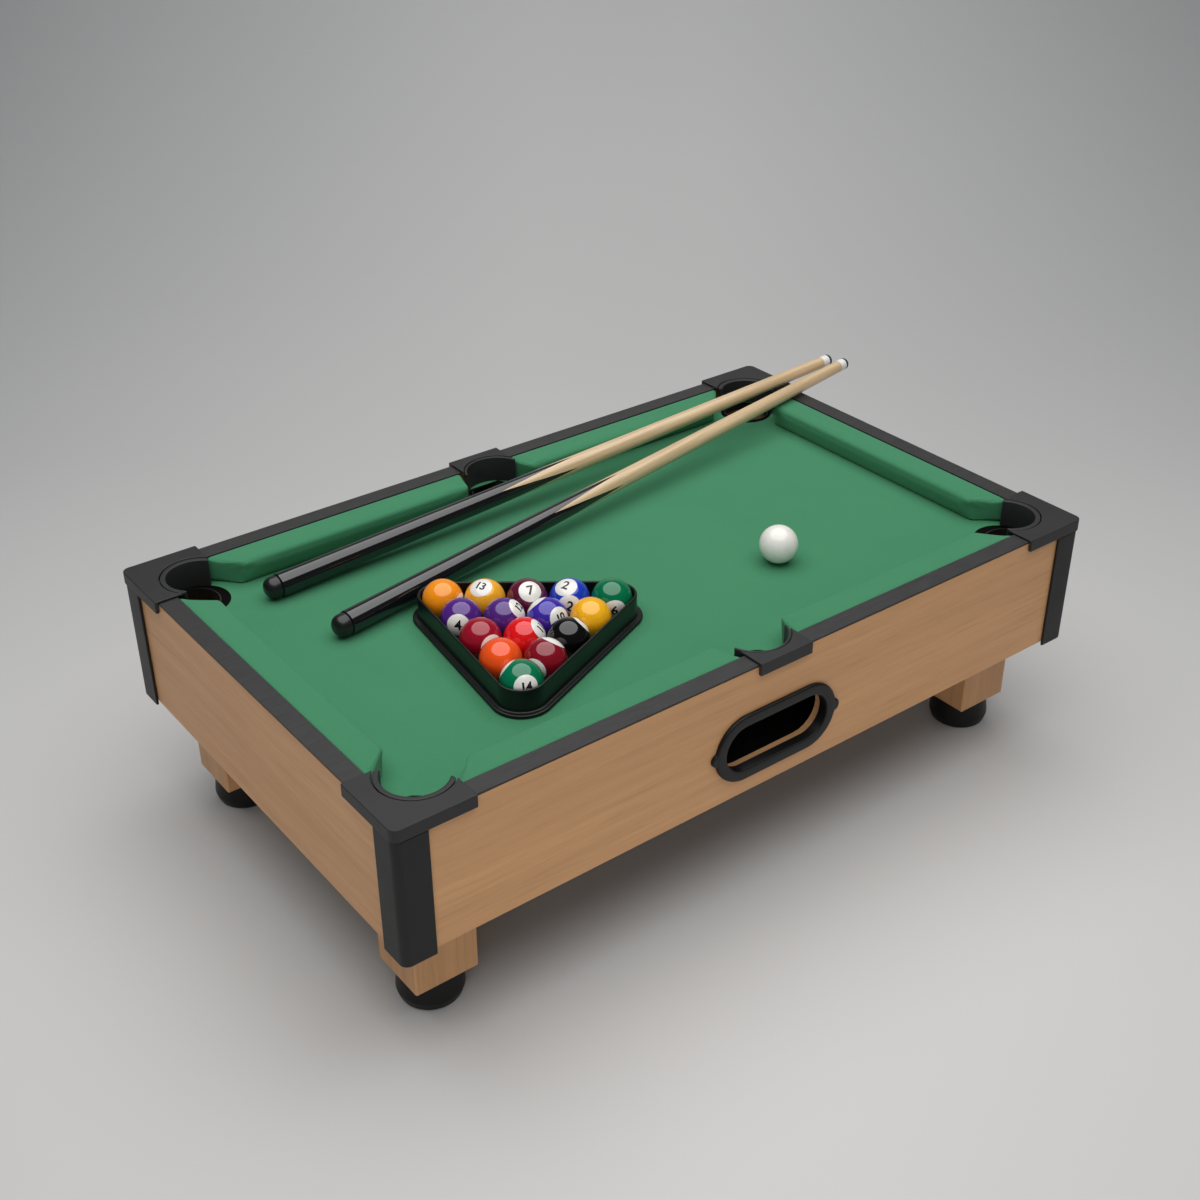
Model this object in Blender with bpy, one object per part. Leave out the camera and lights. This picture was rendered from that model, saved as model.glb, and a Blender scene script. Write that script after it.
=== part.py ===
"""Mini pool table: a small wooden table on four feet with a cloth bed, six pockets that drop onto a sloping
return, two cues, a ball rack and sixteen balls. Metres, +Z up, the floor at z = 0, +X along the table."""

import math

import bmesh
import bpy
from mathutils import Euler, Vector

# Driving dimensions, metres
GAP = 0.0003  # clearance kept between pieces that meet
CUT_PAST = 0.01  # how far a cutting solid runs past what it cuts

CASE_LENGTH = 0.5048
CASE_WIDTH = 0.3095
CASE_HEIGHT = 0.0845  # panels and rail strip
CASE_BOTTOM = 0.0735  # height of the panels' lower edge above the floor
PANEL_THICKNESS = 0.009
CASE_CORNER_RADIUS = 0.003
STRIP_WIDTH = 0.012
STRIP_THICKNESS = 0.0012

CLOTH_DEPTH = 0.0165  # from the rail's top down to the cloth
CLOTH_THICKNESS = 0.0008
BED_THICKNESS = 0.006
BOTTOM_BOARD_RECESS = 0.006
BOTTOM_BOARD_THICKNESS = 0.003
RAMP_THICKNESS = 0.003
RAMP_CLEARANCE = 0.001  # above the bottom board, at the mouth
RAMP_SLOPE_ALONG = 0.04  # rise towards each end of the table
RAMP_SLOPE_ACROSS = 0.038  # rise towards the back

CUSHION_NOSE = 0.0328  # from the case's outer face to the cushion's nose
CUSHION_UNDERCUT = 0.0034
CUSHION_SHOULDER = (  # drop below the rail's top and step back from the nose, going up
    (0.0040, 0.0004), (0.0024, 0.0), (0.0009, 0.0004), (0.0002, 0.0020),
)
CORNER_END_AT_STRIP = 0.0460  # cushion's end from the case corner, at the strip
CORNER_END_SPLAY = 0.8  # growth of that distance for each unit towards the nose
SIDE_END_AT_STRIP = 0.0210  # the same beside a side pocket, from the table's middle
SIDE_END_SPLAY = 0.3

CAP_RISE = 0.0016  # cap's top above the rail strip
CAP_THICKNESS = 0.0013
CAP_OVERHANG = 0.0026
CAP_LIP_DROP = 0.0063  # how far the lip hangs below the rail's top
CAP_CORNER_RADIUS = 0.005
CAP_INSET = 0.0002  # lip and liner stand back this far from the plate's edges
CORNER_ARM = 0.0464  # corner cap's reach along each rail
CORNER_ARM_WIDTH = 0.0157
CORNER_POCKET = 0.031  # pocket's centre from both outer faces
CORNER_POCKET_RADIUS = 0.018
CORNER_HOLE = 0.028  # bed hole's centre from both outer faces
CORNER_HOLE_RADIUS = 0.017
SIDE_CAP_HALF = 0.0171
SIDE_CAP_WIDTH = 0.0164
SIDE_POCKET = 0.0253
SIDE_POCKET_RADIUS = 0.0192
SIDE_HOLE = 0.0194
SIDE_HOLE_RADIUS = 0.0138
LINER_THICKNESS = 0.0012
LINER_CLEARANCE = 0.0005
RECESS_FLOOR = 0.040  # side pocket recess in the long panels, above their lower edge

TRIM_WIDTH = 0.018
TRIM_THICKNESS = 0.0017
TRIM_DROP = 0.0025  # below the panels

LEG_LENGTH, LEG_WIDTH = 0.0404, 0.0389
LEG_X, LEG_Y = 0.2146, 0.1110
LEG_CHAMFER = 0.0009
FOOT_HEIGHT = 0.0196
FOOT_PROFILE = (  # radius, height: a puck that bulges low
    (0.0172, 0.0), (0.0188, 0.0012), (0.0193, 0.0042),
    (0.0190, 0.0110), (0.0182, 0.0178), (0.0172, FOOT_HEIGHT),
)

RETURN_X = -0.0036
RETURN_HEIGHT = 0.0331  # mouth's centre above the case's lower edge
RETURN_MOUTH = (0.0770, 0.0296)
RETURN_FLANGE = (0.0913, 0.0439)
RETURN_EAR_SPAN, RETURN_EAR_RADIUS = 0.0975, 0.0042
RETURN_WALL = 0.0015
RETURN_FLANGE_PROUD = 0.0026
RETURN_TUBE_DEPTH = 0.004

BALL_RADIUS = 0.0123
BALL_SPACING = 0.02498
RACK_START = (-0.1151, 0.0164)  # ball at the back left of the triangle
RACK_TURN = math.radians(-37.32)  # direction of the rows
RACK_ORDER = (9, 13, 7, 2, 6, 4, 12, 10, 1, 3, 11, 8, 5, 15, 14)
CUE_BALL = (0.0870, -0.0563)
BALL_COLOURS = {
    0: (0.85, 0.84, 0.80), 1: (0.90, 0.53, 0.04), 2: (0.05, 0.09, 0.55), 3: (0.37, 0.02, 0.05),
    4: (0.13, 0.04, 0.30), 5: (0.85, 0.13, 0.03), 6: (0.0, 0.20, 0.09), 7: (0.17, 0.02, 0.06),
    8: (0.01, 0.01, 0.01), 9: (0.88, 0.40, 0.03), 10: (0.08, 0.05, 0.42), 11: (0.62, 0.02, 0.03),
    12: (0.12, 0.04, 0.28), 13: (0.88, 0.46, 0.05), 14: (0.0, 0.20, 0.10), 15: (0.30, 0.02, 0.05),
}

RACK_INNER = 0.0132  # wall's inner face from the lines through the ball centres
RACK_WALL = 0.0017
RACK_FLANGE = 0.0184
RACK_HEIGHT = 0.0165
RACK_FLANGE_HEIGHT = 0.0020
RACK_EDGE = 0.0004  # chamfer on the wall's top
RACK_FLANGE_EDGE = 0.0006
RACK_NUDGE = 0.0005  # rack's offset towards its apex

CUE_LENGTH = 0.488
CUE_BUTT_RADIUS, CUE_TIP_RADIUS = 0.0075, 0.0043
BUMPER_LENGTH, FERRULE_LENGTH, TIP_LENGTH = 0.009, 0.0065, 0.0030
BUMPER_DOME = (  # share of the butt's radius, distance from the end
    (0.45, 0.0), (0.80, 0.0010), (0.96, 0.0030), (0.987, 0.0060),
)
CUE_EDGE = 0.0005  # chamfer where bumper and stick meet
TIP_DOME = ((0.72, 0.0004), (0.35, 0.0))  # share of the tip's radius, distance from the end
CUES = {  # butt end in plan, direction, slope
    "back_cue": ((-0.1903, 0.0974), math.radians(2.06), math.radians(2.09)),
    "front_cue": ((-0.1790, 0.0334), math.radians(8.36), math.radians(1.97)),
}

# Levels above the floor
RAIL_TOP = CASE_BOTTOM + CASE_HEIGHT
PANEL_TOP = RAIL_TOP - STRIP_THICKNESS - GAP
CLOTH_TOP = RAIL_TOP - CLOTH_DEPTH
BED_TOP = CLOTH_TOP - CLOTH_THICKNESS - GAP
CAP_TOP = RAIL_TOP + CAP_RISE
CAP_UNDERSIDE = CAP_TOP - CAP_THICKNESS
LIP_BOTTOM = RAIL_TOP - CAP_LIP_DROP
BOARD_BOTTOM = CASE_BOTTOM + BOTTOM_BOARD_RECESS
RETURN_Z = CASE_BOTTOM + RETURN_HEIGHT

HALF_LENGTH, HALF_WIDTH = CASE_LENGTH / 2, CASE_WIDTH / 2
INNER_LENGTH = HALF_LENGTH - PANEL_THICKNESS - GAP
INNER_WIDTH = HALF_WIDTH - PANEL_THICKNESS - GAP
CORNERS = {
    "front_left": (-1, -1), "front_right": (1, -1), "back_left": (-1, 1), "back_right": (1, 1),
}
LONG_SIDES = {"front": -1, "back": 1}
SHORT_SIDES = {"left": -1, "right": 1}


def clear_scene():
    for obj in list(bpy.data.objects):
        bpy.data.objects.remove(obj, do_unlink=True)


def material(name, colour, roughness, metallic=0.0):
    made = bpy.data.materials.get(name)
    if made:
        return made
    made = bpy.data.materials.new(name)
    made.use_nodes = True
    shader = made.node_tree.nodes["Principled BSDF"]
    shader.inputs["Base Color"].default_value = (*colour, 1.0)
    shader.inputs["Roughness"].default_value = roughness
    shader.inputs["Metallic"].default_value = metallic
    made.diffuse_color = (*colour, 1.0)
    return made


def wood():
    return material("light_wood", (0.42, 0.26, 0.14), 0.45)


def leg_wood():
    return material("leg_wood", (0.40, 0.25, 0.13), 0.45)


def raw_board():
    return material("raw_board", (0.30, 0.20, 0.12), 0.7)


def dark_plastic():
    return material("dark_plastic", (0.055, 0.052, 0.056), 0.42)


def black_plastic():
    return material("black_plastic", (0.012, 0.012, 0.013), 0.35)


def strip_laminate():
    return material("strip_laminate", (0.075, 0.070, 0.074), 0.45)


def felt():
    return material("green_felt", (0.065, 0.265, 0.135), 0.95)


def object_from(name, mesh_builder, surface, parent, location=(0, 0, 0)):
    """One closed piece from a bmesh, with its faces turned outwards."""
    bmesh.ops.recalc_face_normals(mesh_builder, faces=mesh_builder.faces[:])
    mesh = bpy.data.meshes.new(name)
    mesh_builder.to_mesh(mesh)
    mesh_builder.free()
    mesh.shade_smooth()
    mesh.set_sharp_from_angle(angle=math.radians(32))
    obj = bpy.data.objects.new(name, mesh)
    obj.data.materials.append(surface)
    obj.parent = parent
    obj.location = location
    bpy.context.scene.collection.objects.link(obj)
    return obj


def empty(name, parent=None, location=(0, 0, 0), rotation=(0, 0, 0)):
    obj = bpy.data.objects.new(name, None)
    obj.empty_display_size = 0.02
    obj.parent = parent
    obj.location = location
    obj.rotation_euler = rotation
    bpy.context.scene.collection.objects.link(obj)
    return obj


def boolean(target, operand, operation):
    operand.hide_render = True
    operand.display_type = "WIRE"
    step = target.modifiers.new(operation.lower(), "BOOLEAN")
    step.operation = operation
    step.solver = "EXACT"
    step.object = operand


def arc(centre, radius, start, end, count):
    """Points on a circle from one angle to another, in degrees."""
    angles = [math.radians(start + (end - start) * i / count) for i in range(count + 1)]
    return [(centre[0] + radius * math.cos(a), centre[1] + radius * math.sin(a)) for a in angles]


def circle(centre, radius, count=28):
    return arc(centre, radius, 0, 360, count)[:-1]


def stadium(centre, width, height, count=12):
    """A slot outline: a rectangle with round ends."""
    radius = height / 2
    reach = width / 2 - radius
    right = arc((centre[0] + reach, centre[1]), radius, -90, 90, count)
    left = arc((centre[0] - reach, centre[1]), radius, 90, 270, count)
    return right + left


def prism(outline, low, high, plane="XY"):
    """A closed outline extruded between two levels of Z, or of Y when the outline stands upright in XZ."""
    mesh_builder = bmesh.new()

    def vertex(point, level):
        x, other = point
        return mesh_builder.verts.new((x, other, level) if plane == "XY" else (x, level, other))

    lower = [vertex(point, low) for point in outline]
    upper = [vertex(point, high) for point in outline]
    mesh_builder.faces.new(lower)
    mesh_builder.faces.new(upper[::-1])
    for i, corner in enumerate(lower):
        following = (i + 1) % len(outline)
        mesh_builder.faces.new((corner, lower[following], upper[following], upper[i]))
    return mesh_builder


def box(low, high):
    outline = [(low[0], low[1]), (high[0], low[1]), (high[0], high[1]), (low[0], high[1])]
    return prism(outline, low[2], high[2])


def ring_loft(loops, closed_section=True):
    """Bridges loops of points, each with the same count, into a surface. A closed section makes a band like
    a torus, and an open one is capped at its first and last loops."""
    mesh_builder = bmesh.new()
    rows = [[mesh_builder.verts.new(point) for point in loop] for loop in loops]
    pairs = list(zip(rows, rows[1:]))
    if closed_section:
        pairs.append((rows[-1], rows[0]))
    for first, second in pairs:
        for i in range(len(first)):
            j = (i + 1) % len(first)
            mesh_builder.faces.new((first[i], first[j], second[j], second[i]))
    if not closed_section:
        mesh_builder.faces.new(rows[0][::-1])
        mesh_builder.faces.new(rows[-1])
    return mesh_builder


def turned(profile, axis="Z", count=24):
    """A solid of revolution. The profile holds (radius, distance along the axis)."""
    loops = []
    for radius, along in profile:
        ring = circle((0, 0), radius, count)
        loops.append([(p, q, along) if axis == "Z" else (along, p, q) for p, q in ring])
    return ring_loft(loops, closed_section=False)


def at_corner(outline, signs):
    """Moves an outline given as distances inwards from a case corner to that corner of the table."""
    return [(signs[0] * (HALF_LENGTH - a), signs[1] * (HALF_WIDTH - b)) for a, b in outline]


def at_side(outline, sign):
    """The same for an outline given along the table and inwards from a long side."""
    return [(x, sign * (HALF_WIDTH - b)) for x, b in outline]


def panels(centre):
    """Four case panels. The long ones run past the short ones and carry the side pockets' recesses."""
    for side, sign in LONG_SIDES.items():
        r = CASE_CORNER_RADIUS
        outline = [(-HALF_LENGTH, PANEL_THICKNESS)]
        outline += arc((-HALF_LENGTH + r, r), r, 180, 270, 4)
        outline += arc((HALF_LENGTH - r, r), r, 270, 360, 4)
        outline += [(HALF_LENGTH, PANEL_THICKNESS)]
        board = prism(at_side(outline, sign), CASE_BOTTOM, PANEL_TOP)
        panel = object_from(f"{side}_panel", board, wood(), centre)
        recess = prism(side_notch(sign), CASE_BOTTOM + RECESS_FLOOR, RAIL_TOP + CAP_RISE)
        boolean(panel, object_from(f"{side}_recess_cutter", recess, wood(), centre), "DIFFERENCE")
        if side == "front":
            clearance = 2 * (RETURN_WALL + GAP)
            mouth = stadium((RETURN_X, RETURN_Z), RETURN_MOUTH[0] + clearance, RETURN_MOUTH[1] + clearance)
            cutter = prism(mouth, -HALF_WIDTH - CUT_PAST, -INNER_WIDTH + CUT_PAST, plane="XZ")
            boolean(panel, object_from("return_cutter", cutter, wood(), centre), "DIFFERENCE")
    for side, sign in SHORT_SIDES.items():
        ends = sorted((sign * HALF_LENGTH, sign * (HALF_LENGTH - PANEL_THICKNESS)))
        panel = box((ends[0], -INNER_WIDTH, CASE_BOTTOM), (ends[1], INNER_WIDTH, PANEL_TOP))
        object_from(f"{side}_panel", panel, wood(), centre)


def side_notch(sign):
    return at_side(circle((0, SIDE_POCKET), SIDE_POCKET_RADIUS + LINER_THICKNESS + LINER_CLEARANCE), sign)


def rail_strip(centre):
    """The flat dark strip round the top of the case, notched where the pocket liners pass."""
    r = CASE_CORNER_RADIUS
    corners = ((1, 1, 0), (-1, 1, 90), (-1, -1, 180), (1, -1, 270))
    outer = []
    for sx, sy, start in corners:
        outer += arc((sx * (HALF_LENGTH - r), sy * (HALF_WIDTH - r)), r, start, start + 90, 4)
    strip = object_from("rail_strip", prism(outer, PANEL_TOP + GAP, RAIL_TOP), strip_laminate(), centre)
    x, y = HALF_LENGTH - STRIP_WIDTH, HALF_WIDTH - STRIP_WIDTH
    low, high = PANEL_TOP - CUT_PAST, RAIL_TOP + CUT_PAST
    window = box((-x, -y, low), (x, y, high))
    boolean(strip, object_from("strip_window_cutter", window, strip_laminate(), centre), "DIFFERENCE")
    cuts = {side: side_notch(sign) for side, sign in LONG_SIDES.items()}
    reach = CORNER_POCKET_RADIUS + LINER_THICKNESS + LINER_CLEARANCE
    for corner, signs in CORNERS.items():
        cuts[corner] = at_corner(circle((CORNER_POCKET, CORNER_POCKET), reach), signs)
    for place, outline in cuts.items():
        cutter = object_from(f"{place}_strip_cutter", prism(outline, low, high), strip_laminate(), centre)
        boolean(strip, cutter, "DIFFERENCE")


def bed(centre):
    """The board and the cloth on it, with a drop hole at each pocket."""
    layers = {
        "bed_board": (BED_TOP - BED_THICKNESS, BED_TOP, raw_board()),
        "bed_cloth": (CLOTH_TOP - CLOTH_THICKNESS, CLOTH_TOP, felt()),
    }
    holes = [at_corner(circle((CORNER_HOLE, CORNER_HOLE), CORNER_HOLE_RADIUS), s) for s in CORNERS.values()]
    holes += [at_side(circle((0, SIDE_HOLE), SIDE_HOLE_RADIUS), sign) for sign in LONG_SIDES.values()]
    for name, (low, high, surface) in layers.items():
        sheet = box((-INNER_LENGTH, -INNER_WIDTH, low), (INNER_LENGTH, INNER_WIDTH, high))
        layer = object_from(name, sheet, surface, centre)
        for number, outline in enumerate(holes, 1):
            hole = prism(outline, low - CUT_PAST, high + CUT_PAST)
            boolean(layer, object_from(f"{name}_hole_{number}", hole, surface, centre), "DIFFERENCE")


def cushion_section():
    """(inwards from the case's outer face, height) round a cushion, whose back is held under the strip."""
    back, strip_edge = PANEL_THICKNESS + GAP, STRIP_WIDTH + GAP
    low, shoulder = CLOTH_TOP + GAP, PANEL_TOP
    section = [(back, low), (CUSHION_NOSE - CUSHION_UNDERCUT, low)]
    section += [(CUSHION_NOSE - step, RAIL_TOP - drop) for drop, step in CUSHION_SHOULDER]
    return section + [(strip_edge, RAIL_TOP), (strip_edge, shoulder), (back, shoulder)]


def cushions(centre):
    """Six rail cushions. Their ends are cut back along a line that opens towards the pocket."""

    def corner_end(half, inward):
        return half - CORNER_END_AT_STRIP - (inward - STRIP_WIDTH) * CORNER_END_SPLAY

    def side_end(inward):
        return SIDE_END_AT_STRIP + (inward - STRIP_WIDTH) * SIDE_END_SPLAY

    section = cushion_section()
    for side, sign in LONG_SIDES.items():
        for end, along in SHORT_SIDES.items():
            near = [(along * side_end(b), sign * (HALF_WIDTH - b), z) for b, z in section]
            far = [(along * corner_end(HALF_LENGTH, b), sign * (HALF_WIDTH - b), z) for b, z in section]
            cushion = ring_loft([near, far], closed_section=False)
            object_from(f"{side}_{end}_cushion", cushion, felt(), centre)
    for end, sign in SHORT_SIDES.items():
        loops = []
        for along in (-1, 1):
            ends = [(b, z, along * corner_end(HALF_WIDTH, b)) for b, z in section]
            loops.append([(sign * (HALF_LENGTH - b), y, z) for b, z, y in ends])
        object_from(f"{end}_cushion", ring_loft(loops, closed_section=False), felt(), centre)


def lip_band(reach, offset, thickness):
    """An L round a case corner: reach along both faces, its outer face this far outside the case."""
    outer = CAP_CORNER_RADIUS
    inner = offset - thickness
    band = [(reach, -offset)]
    band += arc((outer - offset, outer - offset), outer, 270, 180, 6)
    band += [(-offset, reach), (-inner, reach)]
    band += arc((CASE_CORNER_RADIUS, CASE_CORNER_RADIUS), CASE_CORNER_RADIUS + inner, 180, 270, 6)
    return band + [(reach, -inner)]


def liner_band(centre, radius, start, end):
    """A C round a pocket, between the plate's opening and the outside of the liner."""
    inner = arc(centre, radius + CAP_INSET, start, end, 18)
    outer = arc(centre, radius + LINER_THICKNESS, end, start, 18)
    return inner + outer


def pocket_caps(centre):
    """A moulded cap for each pocket: a plate on the rail, a lip outside it and a liner round the drop."""
    levels = {
        "lip": (LIP_BOTTOM, CAP_UNDERSIDE + CAP_THICKNESS / 2),
        "liner": (CLOTH_TOP + GAP, CAP_UNDERSIDE + CAP_THICKNESS / 3),
    }

    def cap(name, plate, parts):
        body = object_from(name, prism(plate, CAP_UNDERSIDE, CAP_TOP), dark_plastic(), centre)
        for kind, outline in parts.items():
            piece = object_from(f"{name}_{kind}", prism(outline, *levels[kind]), dark_plastic(), centre)
            boolean(body, piece, "UNION")

    lip_offset = CAP_OVERHANG - CAP_INSET
    lip_thickness = lip_offset - GAP
    pocket = (CORNER_POCKET, CORNER_POCKET)
    plate = [(CORNER_ARM, -CAP_OVERHANG)]
    plate += arc((CAP_CORNER_RADIUS - CAP_OVERHANG,) * 2, CAP_CORNER_RADIUS, 270, 180, 6)
    plate += [(-CAP_OVERHANG, CORNER_ARM), (CORNER_ARM_WIDTH, CORNER_ARM)]
    plate += arc(pocket, CORNER_POCKET_RADIUS, 135, 315, 20)
    plate += [(CORNER_ARM, CORNER_ARM_WIDTH)]
    lip = lip_band(CORNER_ARM - CAP_INSET, lip_offset, lip_thickness)
    liner = liner_band(pocket, CORNER_POCKET_RADIUS, 138, 312)
    for corner, signs in CORNERS.items():
        parts = {"lip": at_corner(lip, signs), "liner": at_corner(liner, signs)}
        cap(f"{corner}_cap", at_corner(plate, signs), parts)

    pocket = (0, SIDE_POCKET)
    tip = math.degrees(math.asin((SIDE_POCKET - SIDE_CAP_WIDTH) / SIDE_POCKET_RADIUS))
    plate = [(-SIDE_CAP_HALF, -CAP_OVERHANG), (SIDE_CAP_HALF, -CAP_OVERHANG)]
    plate += arc(pocket, SIDE_POCKET_RADIUS, -tip, tip - 180, 16)
    half = SIDE_CAP_HALF - CAP_INSET
    lip = [(-half, -lip_offset), (half, -lip_offset), (half, -GAP), (-half, -GAP)]
    liner = liner_band(pocket, SIDE_POCKET_RADIUS, -18, -162)
    for side, sign in LONG_SIDES.items():
        parts = {"lip": at_side(lip, sign), "liner": at_side(liner, sign)}
        cap(f"{side}_side_cap", at_side(plate, sign), parts)


def corner_trims(centre):
    """Dark moulding over each vertical corner of the case, below the cap's lip."""
    outline = lip_band(TRIM_WIDTH, TRIM_THICKNESS + GAP, TRIM_THICKNESS)
    for corner, signs in CORNERS.items():
        trim = prism(at_corner(outline, signs), CASE_BOTTOM - TRIM_DROP, LIP_BOTTOM - GAP)
        object_from(f"{corner}_trim", trim, dark_plastic(), centre)


def return_bezel(centre):
    """The oval frame of the ball return: a flange on the panel and a short tube through it."""
    middle = (RETURN_X, RETURN_Z)
    face, back = -HALF_WIDTH - RETURN_FLANGE_PROUD, -HALF_WIDTH - GAP
    flange = prism(stadium(middle, *RETURN_FLANGE, 14), face, back, plane="XZ")
    bezel = object_from("ball_return_bezel", flange, black_plastic(), centre)
    for side in (-1, 1):
        ear_x = RETURN_X + side * (RETURN_EAR_SPAN / 2 - RETURN_EAR_RADIUS)
        outline = circle((ear_x, RETURN_Z), RETURN_EAR_RADIUS, 16)
        ear = prism(outline, face + CAP_INSET, back - CAP_INSET, plane="XZ")
        boolean(bezel, object_from(f"return_ear_{side}", ear, black_plastic(), centre), "UNION")
    outer = stadium(middle, RETURN_MOUTH[0] + 2 * RETURN_WALL, RETURN_MOUTH[1] + 2 * RETURN_WALL)
    tube = prism(outer, face + RETURN_WALL, -HALF_WIDTH + RETURN_TUBE_DEPTH, plane="XZ")
    boolean(bezel, object_from("return_tube", tube, black_plastic(), centre), "UNION")
    mouth = prism(stadium(middle, *RETURN_MOUTH), face - CUT_PAST, 2 * CUT_PAST - HALF_WIDTH, plane="XZ")
    boolean(bezel, object_from("return_mouth_cutter", mouth, black_plastic(), centre), "DIFFERENCE")


def lower_boards(centre):
    """The bottom board, and above it the folded return board that slopes to the mouth at the front."""
    bottom = box(
        (-INNER_LENGTH, -INNER_WIDTH, BOARD_BOTTOM),
        (INNER_LENGTH, INNER_WIDTH, BOARD_BOTTOM + BOTTOM_BOARD_THICKNESS),
    )
    object_from("bottom_board", bottom, raw_board(), centre)
    lowest = BOARD_BOTTOM + BOTTOM_BOARD_THICKNESS + RAMP_CLEARANCE

    def height(x, y):
        return lowest + RAMP_SLOPE_ALONG * abs(x - RETURN_X) + RAMP_SLOPE_ACROSS * (y + INNER_WIDTH)

    sections = []
    for x in (-INNER_LENGTH, RETURN_X, INNER_LENGTH):
        front, back = height(x, -INNER_WIDTH), height(x, INNER_WIDTH)
        sections.append([
            (x, -INNER_WIDTH, front), (x, INNER_WIDTH, back),
            (x, INNER_WIDTH, back + RAMP_THICKNESS), (x, -INNER_WIDTH, front + RAMP_THICKNESS),
        ])
    object_from("return_ramp", ring_loft(sections, closed_section=False), raw_board(), centre)


def legs_and_feet(centre):
    for corner, (sx, sy) in CORNERS.items():
        half = (LEG_LENGTH / 2, LEG_WIDTH / 2)
        leg = box((-half[0], -half[1], FOOT_HEIGHT + GAP), (half[0], half[1], BOARD_BOTTOM - GAP))
        place = (sx * LEG_X, sy * LEG_Y, 0)
        leg = object_from(f"{corner}_leg", leg, leg_wood(), centre, place)
        chamfer = leg.modifiers.new("chamfer", "BEVEL")
        chamfer.width = LEG_CHAMFER
        chamfer.segments = 1
        object_from(f"{corner}_foot", turned(FOOT_PROFILE), black_plastic(), centre, place)


def ball(name, number, centre, place):
    mesh_builder = bmesh.new()
    bmesh.ops.create_icosphere(mesh_builder, subdivisions=3, radius=BALL_RADIUS)
    surface = material(f"{name}_resin", BALL_COLOURS[number], 0.12)
    object_from(name, mesh_builder, surface, centre, (*place, CLOTH_TOP + BALL_RADIUS + GAP))


def rack_directions():
    """Unit vectors along the rows and from the back row towards the apex."""
    return (
        Vector((math.cos(RACK_TURN), math.sin(RACK_TURN))),
        Vector((math.sin(RACK_TURN), -math.cos(RACK_TURN))),
    )


def ball_places():
    """The fifteen places of the triangle, from the back row to the apex."""
    along, forward = rack_directions()
    places = []
    for row in range(5):
        for i in range(5 - row):
            step = along * (i + row / 2) + forward * (row * math.sqrt(3) / 2)
            places.append(Vector(RACK_START) + step * BALL_SPACING)
    return places


def balls(centre):
    for number, place in zip(RACK_ORDER, ball_places()):
        ball(f"ball_{number:02d}", number, centre, place)
    ball("cue_ball", 0, centre, CUE_BALL)


def triangle_rack(centre):
    """A round-cornered triangle with a thin wall and a foot flange. Every outline is concentric with the
    corner balls, so a profile of offsets and heights sweeps round it."""
    places = ball_places()
    middle = sum(places, Vector((0, 0))) / len(places)
    forward = rack_directions()[1]
    low = GAP
    outer = RACK_INNER + RACK_WALL
    flange_top = low + RACK_FLANGE_HEIGHT
    profile = [
        (RACK_INNER, low), (RACK_FLANGE, low), (RACK_FLANGE, flange_top - RACK_FLANGE_EDGE),
        (RACK_FLANGE - RACK_FLANGE_EDGE, flange_top), (outer, flange_top), (outer, RACK_HEIGHT - RACK_EDGE),
        (outer - RACK_EDGE, RACK_HEIGHT), (RACK_INNER + RACK_EDGE, RACK_HEIGHT),
        (RACK_INNER, RACK_HEIGHT - RACK_EDGE),
    ]
    corners = [places[0] - middle, places[-1] - middle, places[4] - middle]
    loops = []
    for offset, height in profile:
        loop = []
        for corner in corners:
            facing = math.degrees(math.atan2(corner.y, corner.x))
            loop += [(x, y, height) for x, y in arc(corner, offset, facing - 60, facing + 60, 8)]
        loops.append(loop)
    place = middle + forward * RACK_NUDGE
    object_from("triangle_rack", ring_loft(loops), black_plastic(), centre, (*place, CLOTH_TOP))


def cue_radius(along):
    return CUE_BUTT_RADIUS + (CUE_TIP_RADIUS - CUE_BUTT_RADIUS) * along / CUE_LENGTH


def cue(name, place, turn, slope, centre):
    """One cue along its empty's X axis: bumper, stick, ferrule and tip."""
    butt = (*place, CLOTH_TOP + CUE_BUTT_RADIUS + GAP)
    holder = empty(name, centre, butt, Euler((0, -slope, turn)))
    stick_end = CUE_LENGTH - TIP_LENGTH - FERRULE_LENGTH
    ferrule_end = CUE_LENGTH - TIP_LENGTH
    joint_radius = cue_radius(BUMPER_LENGTH)
    bumper = [(share * CUE_BUTT_RADIUS, along) for share, along in BUMPER_DOME]
    bumper += [(joint_radius, BUMPER_LENGTH - CUE_EDGE), (joint_radius - CUE_EDGE, BUMPER_LENGTH)]
    stick = [(joint_radius - CUE_EDGE, BUMPER_LENGTH + GAP), (joint_radius, BUMPER_LENGTH + GAP + CUE_EDGE)]
    stick += [(cue_radius(stick_end), stick_end - GAP)]
    ferrule = [(CUE_TIP_RADIUS, stick_end), (CUE_TIP_RADIUS, ferrule_end - GAP)]
    tip = [(CUE_TIP_RADIUS, ferrule_end), (CUE_TIP_RADIUS, (ferrule_end + CUE_LENGTH) / 2)]
    tip += [(share * CUE_TIP_RADIUS, CUE_LENGTH - back) for share, back in TIP_DOME]
    pieces = {
        "bumper": (bumper, black_plastic()),
        "stick": (stick, material("cue_wood", (0.66, 0.50, 0.33), 0.25)),
        "ferrule": (ferrule, material("ferrule_white", (0.85, 0.84, 0.80), 0.3)),
        "tip": (tip, material("tip_leather", (0.02, 0.03, 0.06), 0.8)),
    }
    for piece, (profile, surface) in pieces.items():
        object_from(f"{name}_{piece}", turned(profile, axis="X", count=20), surface, holder)


def table_offset():
    """How far the table's middle stands from the origin, the middle of everything on the floor plan."""
    tips = [place[0] + CUE_LENGTH * math.cos(slope) * math.cos(turn) for place, turn, slope in CUES.values()]
    return (HALF_LENGTH + CAP_OVERHANG - max(tips)) / 2


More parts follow.
